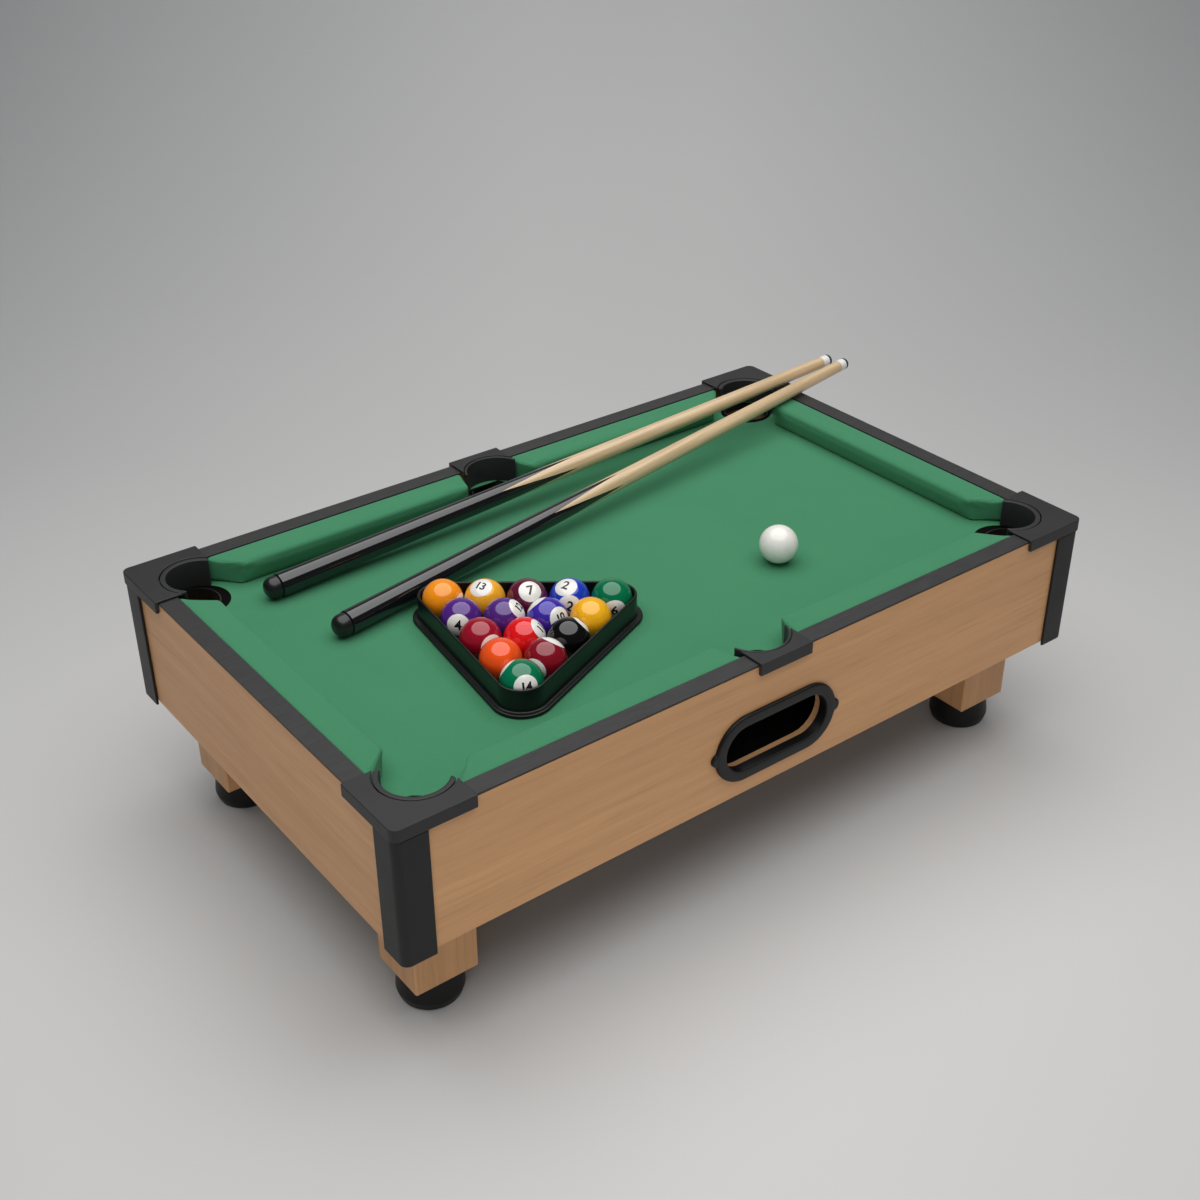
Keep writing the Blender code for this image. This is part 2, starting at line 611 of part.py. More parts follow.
def build():
    clear_scene()
    centre = empty("table_centre", location=(table_offset(), 0, 0))
    panels(centre)
    rail_strip(centre)
    bed(centre)
    cushions(centre)
    pocket_caps(centre)
    corner_trims(centre)
    return_bezel(centre)
    lower_boards(centre)
    legs_and_feet(centre)
    balls(centre)
    triangle_rack(centre)
    for name, (place, turn, slope) in CUES.items():
        cue(name, place, turn, slope, centre)


build()
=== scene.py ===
"""Looks of the mini pool table: its fine surfaces, cloth, printed balls and materials, a studio and a camera.
Metres, +Z up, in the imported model's frame: the floor is z = 0 and +X runs along the table."""

import math

import bmesh
import bpy
from mathutils import Matrix, Vector


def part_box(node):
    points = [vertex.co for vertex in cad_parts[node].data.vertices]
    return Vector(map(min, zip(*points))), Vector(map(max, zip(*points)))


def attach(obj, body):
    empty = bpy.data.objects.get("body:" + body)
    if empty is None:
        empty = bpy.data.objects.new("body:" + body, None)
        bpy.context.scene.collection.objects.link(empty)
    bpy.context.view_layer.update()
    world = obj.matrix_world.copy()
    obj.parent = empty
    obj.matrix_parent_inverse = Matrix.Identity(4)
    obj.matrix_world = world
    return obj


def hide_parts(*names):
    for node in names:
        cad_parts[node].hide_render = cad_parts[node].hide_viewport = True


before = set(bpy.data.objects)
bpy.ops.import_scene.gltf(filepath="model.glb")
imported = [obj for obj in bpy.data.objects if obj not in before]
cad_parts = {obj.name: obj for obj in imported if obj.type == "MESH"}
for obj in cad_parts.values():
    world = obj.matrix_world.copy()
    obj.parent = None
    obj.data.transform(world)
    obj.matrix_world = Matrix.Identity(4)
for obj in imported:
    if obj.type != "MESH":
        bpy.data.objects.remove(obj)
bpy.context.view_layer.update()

# Levels and sizes read from the frame
CASE_LOW, CASE_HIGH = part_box("rail_strip")
MIDDLE = (CASE_LOW + CASE_HIGH) / 2
HALF_LENGTH, HALF_WIDTH = (CASE_HIGH.x - CASE_LOW.x) / 2, (CASE_HIGH.y - CASE_LOW.y) / 2
RAIL_TOP = CASE_HIGH.z
CASE_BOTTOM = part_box("front_panel")[0].z
PANEL_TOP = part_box("front_panel")[1].z
CLOTH_LOW, CLOTH_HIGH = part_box("bed_cloth")
CLOTH_TOP = CLOTH_HIGH.z
CAP_LOW, CAP_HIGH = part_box("front_left_cap")
CAP_TOP = CAP_HIGH.z
CAP_OVERHANG = CASE_LOW.x - CAP_LOW.x
CORNER_ARM = CAP_HIGH.x - CASE_LOW.x
SIDE_CAP_HALF = (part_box("front_side_cap")[1].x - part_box("front_side_cap")[0].x) / 2
TRIM_LOW, TRIM_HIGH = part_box("front_left_trim")
TRIM_OUT = CASE_LOW.x - TRIM_LOW.x
TRIM_REACH = TRIM_HIGH.x - CASE_LOW.x
BALL_RADIUS = (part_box("cue_ball")[1].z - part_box("cue_ball")[0].z) / 2
BEZEL_LOW, BEZEL_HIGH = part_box("ball_return_bezel")

# Sizes that the frame's boxes don't show
GAP = 0.0003
CASE_CORNER_RADIUS = 0.003
STRIP_WIDTH = 0.012
PANEL_THICKNESS = 0.009
PANEL_EDGE, BOARD_EDGE, STRIP_EDGE, TRIM_EDGE = 0.0004, 0.0003, 0.00025, 0.0006
NODE_WELD = 0.00002
TURNED_CORE = 0.0001  # radius at which a turned piece's flat ends close

FOOT_SOLE, FOOT_SOLE_EDGE = 0.0176, 0.0022
FOOT_BELLY, FOOT_BELLY_HEIGHT, FOOT_BELLY_ROUNDING = 0.0195, 0.0060, 0.006
FOOT_NECK, FOOT_NECK_EDGE = 0.0178, 0.0014

CAP_THICKNESS = 0.0013
CAP_LIP_DROP = 0.0063
CAP_CORNER_RADIUS = 0.005
CAP_EDGE = 0.00055
CUT_PAST = 0.002
CORNER_BLOCK_MARGIN = 0.01  # how far a corner's case block passes its cap
SIDE_BLOCK_HALF = 0.03  # half a side's case block, longer than half its cap
CORNER_POCKET = 0.031  # pocket centre from both outer faces
CORNER_POCKET_RADIUS = 0.018
CORNER_RING_WIDTH = 0.0033
CORNER_RING_ENDS = (133, 317)
SIDE_POCKET = 0.0253
SIDE_POCKET_RADIUS = 0.0192
SIDE_RING_WIDTH = 0.0017
SIDE_RING_ENDS = (-16, -164)
LINER_THICKNESS = 0.0015
RING_GROOVE = 0.0006
RING_BELOW_CAP = 0.00025
RING_CLEARANCE = 0.0002
RING_INNER_EDGE, RING_OUTER_EDGE = 0.0008, 0.00045
RING_TAPER = 0.0032  # length of a ring end's finger tip
RING_STEPS = 64
SLEEVE_WALL = 0.0008
BOARD_HOLES = {"corner": (0.028, 0.017), "side": (0.0194, 0.0138)}  # centre from the outer faces, radius
HOLE_STEPS = 96
CLOTH_ROLL_SHARE = 0.45  # the cloth's rolled edge over its thickness
CLOTH_WELD = 0.000002
CLOTH_HOLES = {  # centre from the outer faces, radius
    "front_left": (0.0252, 0.0136), "front_right": (0.031, 0.0186), "back_left": (0.031, 0.0186),
    "back_right": (0.031, 0.0186), "front": (0.0194, 0.0138), "back": (0.0215, 0.0168),
}

CUSHION_NOSE = 0.0328
CUSHION_UNDERCUT = 0.0034
CORNER_END_AT_STRIP, CORNER_END_SPLAY = 0.0460, 0.8
SIDE_END_AT_STRIP, SIDE_END_SPLAY = 0.0206, 0.25
CUSHION_SLACK = 0.0005  # the cloth cover starts this far inside its final shape
CUSHION_END_RADIUS = 0.0022
CUSHION_STEP = 0.0024
CUSHION_SECTION_STEP = 0.0020
CUSHION_TOE_ROUNDING, CUSHION_NOSE_ROUNDING, CUSHION_HEEL_ROUNDING = 0.0013, 0.0029, 0.0009
CUSHION_NOSE_PEAK = 0.0003  # makes up for what the nose's rounding takes off
CUSHION_BACK_DROP = 0.0002
CUSHION_HELD_BACK, CUSHION_HELD_UNDER = 0.0012, 0.0006  # how far the held parts reach out
CUSHION_CORE = 0.021  # middle of the section, inwards from the outer face
SWELL_FRAMES = 14
SWELL_PRESSURE = 30.0
SWELL_QUALITY = 8
SWELL_MASS = 0.15

MOUTH_RADIUS = 0.0148
BEZEL_RADIUS = 0.02195
BEZEL_WALL = 0.0015
BEZEL_REACH = 0.0237  # from the middle to the centre of each round end
BEZEL_TUBE_EDGE, BEZEL_INNER_EDGE, BEZEL_OUTER_EDGE = 0.0005, 0.0009, 0.0012
EAR_RADIUS = 0.0042
EAR_PROUD = 0.0021
EAR_EDGE = 0.0009

RACK_INNER, RACK_WALL, RACK_FLANGE, RACK_FLANGE_HEIGHT = 0.0132, 0.0017, 0.0184, 0.0020
RACK_FOOT_EDGE, RACK_FLANGE_EDGE, RACK_FILLET, RACK_TOP_EDGE = 0.0004, 0.0009, 0.0012, 0.0007
RACK_NUDGE = 0.0005

DISC_SHARE = 0.55  # number disc's radius over the ball's
CAP_PLANE = 0.80  # distance of a white cap's edge from the ball's centre, over the ball's radius
PRINT_BLUR = 0.012  # softness of a cap's or disc's edge, over the ball's radius
DIGIT_DEPTH = 0.00030
DIGIT_PROUD = 0.00003
DIGIT_GRID = 0.0006
DIGIT_CUTS = 10  # grid lines each side of the middle
DIGIT_WELD = 0.000001
DIGIT_SIZES = {1: 0.0084, 2: 0.0072}  # by how many digits the number has
DIGIT_BOLDNESS = 0.00022
DIGIT_SPACING = 0.9

BUTT_END = 0.175  # black butt's end, from the bumper, at the tips of the light points
SPLICE_LENGTH = 0.063
SPLICE_PHASE = 2.25 * math.pi
CUE_END_REACH = 0.0020  # points this near an end give its radius
BUMPER_START_SHARE, BUMPER_END_SHARE = 0.90, 0.94  # over the butt's radius
BUMPER_DOME, BUMPER_EDGE = 0.0056, 0.0007
BUTT_EDGE = 0.0006
FERRULE_EDGE = TIP_EDGE = 0.0003
TIP_SHARE, TIP_DOME = 0.96, 0.0024

WHITE_RESIN = (0.82, 0.80, 0.75)
BALLS = {  # number: colour, where its number faces (azimuth, elevation), where its white cap faces
    1: ((0.87, 0.42, 0.01), (60, -40), None),
    2: ((0.012, 0.045, 0.50), (-157, 69), None),
    3: ((0.31, 0.006, 0.020), (-90, 3), None),
    4: ((0.080, 0.016, 0.21), (-132, 11), None),
    5: ((0.86, 0.085, 0.010), (40, -35), None),
    6: ((0.0, 0.155, 0.060), (-120, -7), None),
    7: ((0.115, 0.008, 0.034), (-109, 54), None),
    8: ((0.003, 0.003, 0.003), (-8, 38), None),
    9: ((0.90, 0.285, 0.008), (-58, -5), None),
    10: ((0.045, 0.022, 0.36), (-82, 23), (110, 42)),
    11: ((0.72, 0.008, 0.012), (-42, 38), None),
    12: ((0.080, 0.020, 0.20), (-46, 42), None),
    13: ((0.88, 0.40, 0.020), (-155, 69), None),
    14: ((0.0, 0.165, 0.070), (-112, 16), (113, 28)),
    15: ((0.23, 0.005, 0.015), (-157, -3), (11, 51)),
}
SECOND_NUMBERS = {2: (-127, 8)}

CORNERS = {"front_left": (-1, -1), "front_right": (1, -1), "back_left": (-1, 1), "back_right": (1, 1)}
LONG_SIDES = {"front": -1, "back": 1}
SHORT_SIDES = {"left": -1, "right": 1}

# Camera, from the middle of the table at the case's lower edge
CAMERA_OFFSET = Vector((-0.5386, -0.6926, 0.5767))
CAMERA_AZIMUTH, CAMERA_ELEVATION, CAMERA_ROLL = math.radians(37.31), math.radians(31.21), math.radians(-0.30)
CAMERA_LENS = 48.66

# Studio, in metres and watts from the middle of the table
SOFTBOX_HEIGHT, SOFTBOX_SIZE, SOFTBOX_POWER = 1.3, 2.4, 34.0
FILL_DISTANCE, FILL_RISE, FILL_POWER = 2.2, 0.18, 11.5
FILL_WIDTH, FILL_HEIGHT = 2.2, 0.9
SWEEP_FRONT, SWEEP_START, SWEEP_RADIUS, SWEEP_TOP, SWEEP_HALF_WIDTH = -4.0, 0.45, 1.10, 3.5, 4.0

# Colours, linear
OAK = (0.66, 0.355, 0.160)
LEG_SHARE = 0.93  # how light the legs are beside the panels
BARE_BOARD = (0.27, 0.175, 0.10)
# Painted shade: a near-black for the bed board and return ramp, standing for the dark inside the drop holes
# and the ball-return chamber
PAINTED_SHADE_BOARD = (0.0035, 0.0032, 0.003)
LAMINATE_DARK, LAMINATE_LIGHT = (0.024, 0.023, 0.024), (0.038, 0.036, 0.037)
FELT_GREEN, FELT_SHEEN = (0.060, 0.250, 0.125), (0.55, 0.95, 0.72, 1.0)
CAP_BLACK = (0.022, 0.0215, 0.0225)
MOULDING_BLACK = (0.009, 0.009, 0.0095)
FOOT_BLACK = BEZEL_BLACK = (0.006, 0.006, 0.006)
# Painted shade: the drop sleeves' near-black, darker than the cap plastic, stands for the dark down the holes
SLEEVE_SHADE_BLACK = (0.004, 0.004, 0.004)
RACK_BLACK = (0.005, 0.006, 0.0055)
BUMPER_BLACK = (0.010, 0.010, 0.010)
BUTT_BLACK = (0.006, 0.006, 0.007)
MAPLE_DARK, MAPLE_LIGHT, MAPLE_FIGURE = (0.50, 0.345, 0.185), (0.72, 0.545, 0.335), (0.60, 0.43, 0.24)
FERRULE_WHITE = (0.80, 0.79, 0.75)
TIP_BLUE = (0.020, 0.035, 0.065)
INK_DARK, INK_LIGHT = (0.008, 0.008, 0.009), (0.016, 0.016, 0.018)
# PAPER_SHADE is painted shade: the colour the backdrop darkens to, standing for the light's fall-off
PAPER_DARK, PAPER_LIGHT, PAPER_SHADE = (0.57, 0.565, 0.56), (0.61, 0.605, 0.60), (0.24, 0.248, 0.252)
WORLD_GREY = (0.04, 0.04, 0.041, 1.0)

NOISE_LOW, NOISE_HIGH = 0.3, 0.7  # where nearly all of a noise's values lie
EVEN = (1, 1, 1)
GRAIN_STRETCH = 0.045


# ---- shading ----


class Surface:
    """A Principled material with short calls for the nodes that shape its colour, roughness and relief."""

    def __init__(self, name, roughness, **sockets):
        self.material = bpy.data.materials.new(name)
        self.material.use_nodes = True
        self.tree = self.material.node_tree
        self.shader = self.tree.nodes["Principled BSDF"]
        self.shader.inputs["Roughness"].default_value = roughness
        for socket, value in sockets.items():
            self.shader.inputs[socket.replace("_", " ")].default_value = value
        self.place = self.node("ShaderNodeTexCoord").outputs["Object"]

    def feed(self, socket, value):
        if isinstance(value, bpy.types.NodeSocket):
            self.tree.links.new(value, socket)
        elif hasattr(value, "__len__") and socket.type == "RGBA":
            socket.default_value = (*value[:3], 1.0)
        else:
            socket.default_value = value

    def node(self, kind, inputs=None, **settings):
        made = self.tree.nodes.new(kind)
        for setting, value in settings.items():
            setattr(made, setting, value)
        for socket, value in (inputs or {}).items():
            self.feed(made.inputs[socket], value)
        return made

    def noise(self, scale, detail=4.0, roughness=0.55, stretch=EVEN, distortion=0.0):
        """Noise of about scale patches a metre, fewer along an axis whose stretch is under 1."""
        stretched = self.node("ShaderNodeMapping", {"Vector": self.place, "Scale": stretch}).outputs[0]
        inputs = {
            "Vector": stretched, "Scale": scale, "Detail": detail, "Roughness": roughness,
            "Distortion": distortion,
        }
        return self.node("ShaderNodeTexNoise", inputs).outputs[0]

    def maths(self, operation, *values):
        return self.node("ShaderNodeMath", dict(enumerate(values)), operation=operation).outputs[0]

    def spread(self, value, low, high, to_low=0.0, to_high=1.0):
        """value carried from low..high to to_low..to_high, and held at the ends."""
        inputs = {"Value": value, "From Min": low, "From Max": high, "To Min": to_low, "To Max": to_high}
        return self.node("ShaderNodeMapRange", inputs).outputs[0]

    def swing(self, noise, to_low=0.0, to_high=1.0):
        """A noise's usual range carried to to_low..to_high."""
        return self.spread(noise, NOISE_LOW, NOISE_HIGH, to_low, to_high)

    def mix(self, factor, first, second):
        """Colours first and second, which are the mix node's seventh and eighth sockets, by the factor."""
        inputs = {0: factor, 6: first, 7: second}
        return self.node("ShaderNodeMix", inputs, data_type="RGBA").outputs[2]

    def facing(self, way):
        """1 where the surface of a ball faces this way from its centre, and -1 at the far side."""
        outwards = self.node("ShaderNodeVectorMath", {0: self.place}, operation="NORMALIZE").outputs[0]
        return self.along(outwards, way)

    def along(self, vector, way):
        """How far a vector reaches along a direction."""
        dot = self.node("ShaderNodeVectorMath", {0: vector, 1: way}, operation="DOT_PRODUCT")
        return dot.outputs["Value"]

    def colour(self, value):
        self.feed(self.shader.inputs["Base Color"], value)

    def roughness(self, value):
        self.feed(self.shader.inputs["Roughness"], value)

    def relief(self, height, strength, distance):
        bump = self.node("ShaderNodeBump", {"Height": height, "Strength": strength, "Distance": distance})
        self.feed(self.shader.inputs["Normal"], bump.outputs[0])


def shaded(colour, share):
    return tuple(channel * share for channel in colour)


def wood(name, colour, stretch):
    """Wood-print foil: fine streaks and pores along the grain, whose direction has the small stretch."""
    s = Surface(name, 0.45, Specular_IOR_Level=0.4, Coat_Weight=0.08, Coat_Roughness=0.35)
    figure = s.noise(14, detail=3, roughness=0.5, stretch=stretch, distortion=0.6)
    streaks = s.noise(130, detail=6, roughness=0.7, stretch=stretch, distortion=0.2)
    pores = s.noise(420, detail=4, roughness=0.65, stretch=stretch)
    body = s.mix(s.spread(figure, 0.32, 0.68), shaded(colour, 0.93), shaded(colour, 1.07))
    body = s.mix(s.swing(streaks, 0.0, 0.75), body, shaded(colour, 0.80))
    flecks = s.spread(pores, 0.52, 0.74, 0.0, 0.38)
    s.colour(s.mix(flecks, body, shaded(colour, 0.55)))
    s.roughness(s.swing(streaks, 0.40, 0.54))
    height = s.maths("SUBTRACT", s.maths("MULTIPLY", streaks, 0.4), flecks)
    s.relief(height, strength=0.20, distance=0.00012)
    return s.material


def fibreboard(name, colour, specular=0.2):
    """Pressed board: matted fibres and soft blotches, in a bare colour or in a near-black that is painted
    shade.
    """
    s = Surface(name, 0.85, Specular_IOR_Level=specular)
    fibres = s.noise(420, detail=6, roughness=0.7)
    blotch = s.noise(25, detail=3)
    body = s.mix(s.swing(fibres), shaded(colour, 0.74), shaded(colour, 1.26))
    s.colour(s.mix(s.spread(blotch, 0.35, 0.65, 0.0, 0.35), body, shaded(colour, 0.6)))
    s.relief(fibres, strength=0.35, distance=0.0002)
    return s.material


def plastic(name, colour, roughness, grain=0.25, **sockets):
    """Moulded plastic: a fine spark-eroded grain, and faint clouding of its colour and gloss."""
    s = Surface(name, roughness, **sockets)
    cloud = s.noise(35, detail=3)
    texture = s.noise(2600, detail=3, roughness=0.6)
    s.colour(s.mix(s.swing(cloud), shaded(colour, 0.88), shaded(colour, 1.12)))
    gloss = s.swing(cloud, roughness - 0.05, roughness)
    s.roughness(s.maths("ADD", gloss, s.swing(texture, 0, 0.07)))
    s.relief(texture, strength=grain, distance=0.00006)
    return s.material


def laminate():
    """The dark foil on the rails: a fine brushed print along X."""
    s = Surface("rail_laminate", 0.46, Specular_IOR_Level=0.34)
    print_grain = s.noise(500, detail=5, roughness=0.6, stretch=(0.12, 1, 1))
    s.colour(s.mix(s.swing(print_grain), LAMINATE_DARK, LAMINATE_LIGHT))
    s.roughness(s.swing(print_grain, 0.40, 0.52))
    s.relief(print_grain, strength=0.12, distance=0.00005)
    return s.material


def felt(name, colour):
    """Short-napped cloth: tangled fibres, a faint cloudy nap and a soft sheen."""
    s = Surface(name, 0.95, Specular_IOR_Level=0.15, Sheen_Weight=0.18, Sheen_Roughness=0.45)
    s.shader.inputs["Sheen Tint"].default_value = FELT_SHEEN
    fibres = s.noise(1500, detail=8, roughness=0.72, distortion=0.6)
    tangle = s.noise(3800, detail=4, roughness=0.7, distortion=1.2)
    nap = s.noise(22, detail=4, roughness=0.6)
    body = s.mix(s.swing(nap), shaded(colour, 0.93), shaded(colour, 1.07))
    body = s.mix(s.spread(fibres, 0.35, 0.65, 0.0, 0.6), shaded(colour, 0.80), body)
    s.colour(s.mix(s.spread(tangle, 0.55, 0.75, 0.0, 0.35), body, shaded(colour, 1.35)))
    height = s.maths("ADD", fibres, s.maths("MULTIPLY", tangle, 0.6))
    s.relief(height, strength=0.45, distance=0.00022)
    return s.material


def resin(name, colour, caps=(), patches=()):
    """Polished cast resin, with white caps and smaller white number discs that face the given ways."""
    s = Surface(name, 0.10, Specular_IOR_Level=0.5, Coat_Weight=0.35, Coat_Roughness=0.04)
    cloud = s.noise(160, detail=4, roughness=0.6)
    body = s.mix(s.swing(cloud), shaded(colour, 0.95), shaded(colour, 1.05))
    rim = math.sqrt(1 - DISC_SHARE**2)
    for plane, ways in ((CAP_PLANE, caps), (rim, patches)):
        for way in ways:
            body = s.mix(s.spread(s.facing(way), plane, plane + PRINT_BLUR), body, WHITE_RESIN)
    s.colour(body)
    scuffs = s.noise(700, detail=6, roughness=0.7)
    s.roughness(s.spread(scuffs, 0.45, 0.75, 0.07, 0.13))
    return s.material


def cue_lacquer():
    """Along X: a black butt, a four-point splice and a light maple shaft, all under clear lacquer."""
    s = Surface("cue_lacquer", 0.22, Specular_IOR_Level=0.5, Coat_Weight=0.65, Coat_Roughness=0.04)
    parts = s.node("ShaderNodeSeparateXYZ", {0: s.place})
    turn = s.maths("ADD", s.maths("ARCTAN2", parts.outputs["Y"], parts.outputs["Z"]), SPLICE_PHASE)
    point = s.maths("DIVIDE", s.maths("PINGPONG", turn, math.pi / 4), math.pi / 4)
    splice = s.maths("ADD", s.maths("MULTIPLY", point, SPLICE_LENGTH), BUTT_END)
    grain = s.noise(520, detail=5, roughness=0.6, stretch=(0.035, 1, 1), distortion=0.4)
    figure = s.noise(60, detail=3, roughness=0.5, stretch=(0.25, 1, 1))
    maple = s.mix(s.swing(grain), MAPLE_DARK, MAPLE_LIGHT)
    maple = s.mix(s.swing(figure, 0.0, 0.3), maple, MAPLE_FIGURE)
    light = s.spread(s.maths("SUBTRACT", parts.outputs["X"], splice), -0.0003, 0.0006)
    s.colour(s.mix(light, BUTT_BLACK, maple))
    s.roughness(s.spread(light, 0.0, 1.0, 0.10, 0.34))
    s.relief(s.maths("MULTIPLY", grain, light), strength=0.10, distance=0.00005)
    return s.material


def leather(name, colour):
    """Rough hide, for a cue's tip."""
    s = Surface(name, 0.8)
    pores = s.noise(2400, detail=5, roughness=0.7)
    s.colour(s.mix(s.swing(pores), shaded(colour, 0.6), shaded(colour, 1.4)))
    s.relief(pores, strength=0.6, distance=0.0001)
    return s.material


# ---- mesh building ----


def arc(centre, radius, start, end, count):
    """Points on a circle from one angle to another, in degrees."""
    angles = [math.radians(start + (end - start) * i / count) for i in range(count + 1)]
    return [(centre[0] + radius * math.cos(a), centre[1] + radius * math.sin(a)) for a in angles]


def rounded(corners, steps=5):
    """A closed outline of (x, y, radius) corners, each with radius turned into an arc."""
    points = []
    for i, (x, y, radius) in enumerate(corners):
        corner = Vector((x, y))
        if not radius:
            points.append(corner)
            continue
        before = (Vector(corners[i - 1][:2]) - corner).normalized()
        after = (Vector(corners[(i + 1) % len(corners)][:2]) - corner).normalized()
        half = before.angle(after) / 2
        centre = corner + (before + after).normalized() * (radius / math.sin(half))
        start, end = (corner + way * (radius / math.tan(half)) - centre for way in (before, after))
        points += [centre + start.slerp(end, k / steps).normalized() * radius for k in range(steps + 1)]
    return [tuple(p) for p in points]


def finer(points, step):
    """The same closed outline with its long edges divided."""
    found = []
    for here, there in zip(points, points[1:] + points[:1]):
        count = max(1, math.ceil((Vector(there) - Vector(here)).length / step))
        found += [tuple(Vector(here).lerp(Vector(there), k / count)) for k in range(count)]
    return found


def prism(outline, low, high):
    """A solid that rises straight up from an outline."""
    mesh_builder = bmesh.new()
    lower = [mesh_builder.verts.new((x, y, low)) for x, y in outline]
    upper = [mesh_builder.verts.new((x, y, high)) for x, y in outline]
    mesh_builder.faces.new(lower)
    mesh_builder.faces.new(upper[::-1])
    for i, corner in enumerate(lower):
        following = (i + 1) % len(outline)
        mesh_builder.faces.new((corner, lower[following], upper[following], upper[i]))
    return mesh_builder


def loft(loops, ring=False):
    """Bridges loops of as many points each. A ring closes on itself, and otherwise both ends get a face."""
    mesh_builder = bmesh.new()
    rows = [[mesh_builder.verts.new(point) for point in loop] for loop in loops]
    pairs = list(zip(rows, rows[1:]))
    if ring:
        pairs.append((rows[-1], rows[0]))
    for first, second in pairs:
        for i in range(len(first)):
            j = (i + 1) % len(first)
            mesh_builder.faces.new((first[i], first[j], second[j], second[i]))
    if not ring:
        mesh_builder.faces.new(rows[0][::-1])
        mesh_builder.faces.new(rows[-1])
    return mesh_builder


def turned(profile, axis="Z", count=64):
    """A solid of revolution from (radius, distance along the axis) points."""
    loops = []
    for radius, along in profile:
        ring = arc((0, 0), radius, 0, 360, count)[:-1]
        loops.append([(p, q, along) if axis == "Z" else (along, p, q) for p, q in ring])
    return loft(loops)


def mesh_object(name, mesh_builder, surface, place=None, sharp=40):
    bmesh.ops.recalc_face_normals(mesh_builder, faces=mesh_builder.faces[:])
    mesh = bpy.data.meshes.new(name)
    mesh_builder.to_mesh(mesh)
    mesh_builder.free()
    mesh.shade_smooth()
    mesh.set_sharp_from_angle(angle=math.radians(sharp))
    obj = bpy.data.objects.new(name, mesh)
    obj.matrix_world = place or Matrix.Identity(4)
    bpy.context.scene.collection.objects.link(obj)
    mesh.materials.append(surface)
    return obj


def finish_piece(obj, body, slot, *nodes):
    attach(obj, body)
    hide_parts(*nodes)
    return obj


def bevel(obj, width, segments=3):
    step = obj.modifiers.new("bevel", "BEVEL")
    step.width = width
    step.segments = segments
    step.limit_method = "ANGLE"
    step.angle_limit = math.radians(35)
    step.harden_normals = True


def cut(obj, tool):
    """Takes the tool's solid away from the object, and removes the tool."""
    step = obj.modifiers.new("cut", "BOOLEAN")
    step.operation = "DIFFERENCE"
    step.object = tool
    mesh = bpy.data.meshes.new_from_object(obj.evaluated_get(bpy.context.evaluated_depsgraph_get()))
    obj.modifiers.remove(step)
    obj.data = mesh
    bpy.data.objects.remove(tool)
    mesh.shade_smooth()


def at_corner(outline, signs):
    """An outline given as distances inwards from a case corner, moved to that corner of the table."""
    sx, sy = signs
    return [(MIDDLE.x + sx * (HALF_LENGTH - a), MIDDLE.y + sy * (HALF_WIDTH - b)) for a, b in outline]


def at_side(outline, sign):
    """The same for an outline given along the table and inwards from a long side."""
    return [(MIDDLE.x + x, MIDDLE.y + sign * (HALF_WIDTH - b)) for x, b in outline]


def middle_of(node):
    low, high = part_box(node)
    return (low + high) / 2


def direction(azimuth, elevation):
    a, e = math.radians(azimuth), math.radians(elevation)
    return Vector((math.cos(e) * math.cos(a), math.cos(e) * math.sin(a), math.sin(e)))


# ---- case ----


def keep_node(name, surface, edge):
    """Gives a CAD node its material and slightly rounded edges."""
    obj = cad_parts[name]
    for slot in obj.material_slots:
        slot.material = surface
    weld = obj.modifiers.new("weld", "WELD")
    weld.merge_threshold = NODE_WELD
    bevel(obj, edge, segments=2)


def case_and_legs():
    along, across, upright = (GRAIN_STRETCH, 1, 1), (1, GRAIN_STRETCH, 1), (1, 1, GRAIN_STRETCH)
    long_wood = wood("long_panel_foil", OAK, along)
    short_wood = wood("short_panel_foil", OAK, across)
    leg_wood = wood("leg_foil", shaded(OAK, LEG_SHARE), upright)
    board = fibreboard("bare_board", BARE_BOARD)
    shade_board = fibreboard("board_painted_shade", PAINTED_SHADE_BOARD, specular=0.05)
    for side in LONG_SIDES:
        keep_node(f"{side}_panel", long_wood, PANEL_EDGE)
    for side in SHORT_SIDES:
        keep_node(f"{side}_panel", short_wood, PANEL_EDGE)
    for corner in CORNERS:
        keep_node(f"{corner}_leg", leg_wood, BOARD_EDGE)
    keep_node("bottom_board", board, BOARD_EDGE)
    # These boards get the near-black, painted shade for the dark inside the drop holes and the ball-return
    # chamber
    for node in ("bed_board", "return_ramp"):
        keep_node(node, shade_board, BOARD_EDGE)
    keep_node("rail_strip", laminate(), STRIP_EDGE)


def corner_trims(surface):
    """Dark moulding over the case's vertical corners, rounded outside and at its edges."""
    outline = rounded([
        (TRIM_REACH, -TRIM_OUT, 0), (-TRIM_OUT, -TRIM_OUT, CAP_CORNER_RADIUS), (-TRIM_OUT, TRIM_REACH, 0),
        (-GAP, TRIM_REACH, 0), (-GAP, -GAP, CASE_CORNER_RADIUS + GAP), (TRIM_REACH, -GAP, 0),
    ], steps=10)
    for corner, signs in CORNERS.items():
        solid = prism(at_corner(outline, signs), TRIM_LOW.z, TRIM_HIGH.z)
        trim = mesh_object(f"{corner}_moulding", solid, surface)
        bevel(trim, TRIM_EDGE)
        finish_piece(trim, "table", "trim_plastic", f"{corner}_trim")


def feet(surface):
    """Round pucks, widest a little above the floor."""
    foot_low, foot_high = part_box("front_left_foot")
    height = foot_high.z - foot_low.z
    profile = rounded([
        (TURNED_CORE, 0, 0), (FOOT_SOLE, 0, FOOT_SOLE_EDGE),
        (FOOT_BELLY, FOOT_BELLY_HEIGHT, FOOT_BELLY_ROUNDING), (FOOT_NECK, height, FOOT_NECK_EDGE),
        (TURNED_CORE, height, 0),
    ], steps=8)
    for corner in CORNERS:
        centre = middle_of(f"{corner}_foot")
        place = Matrix.Translation((centre.x, centre.y, foot_low.z))
        foot = mesh_object(f"{corner}_puck", turned(profile), surface, place)
        finish_piece(foot, "table", "foot_plastic", f"{corner}_foot")


# ---- pockets ----


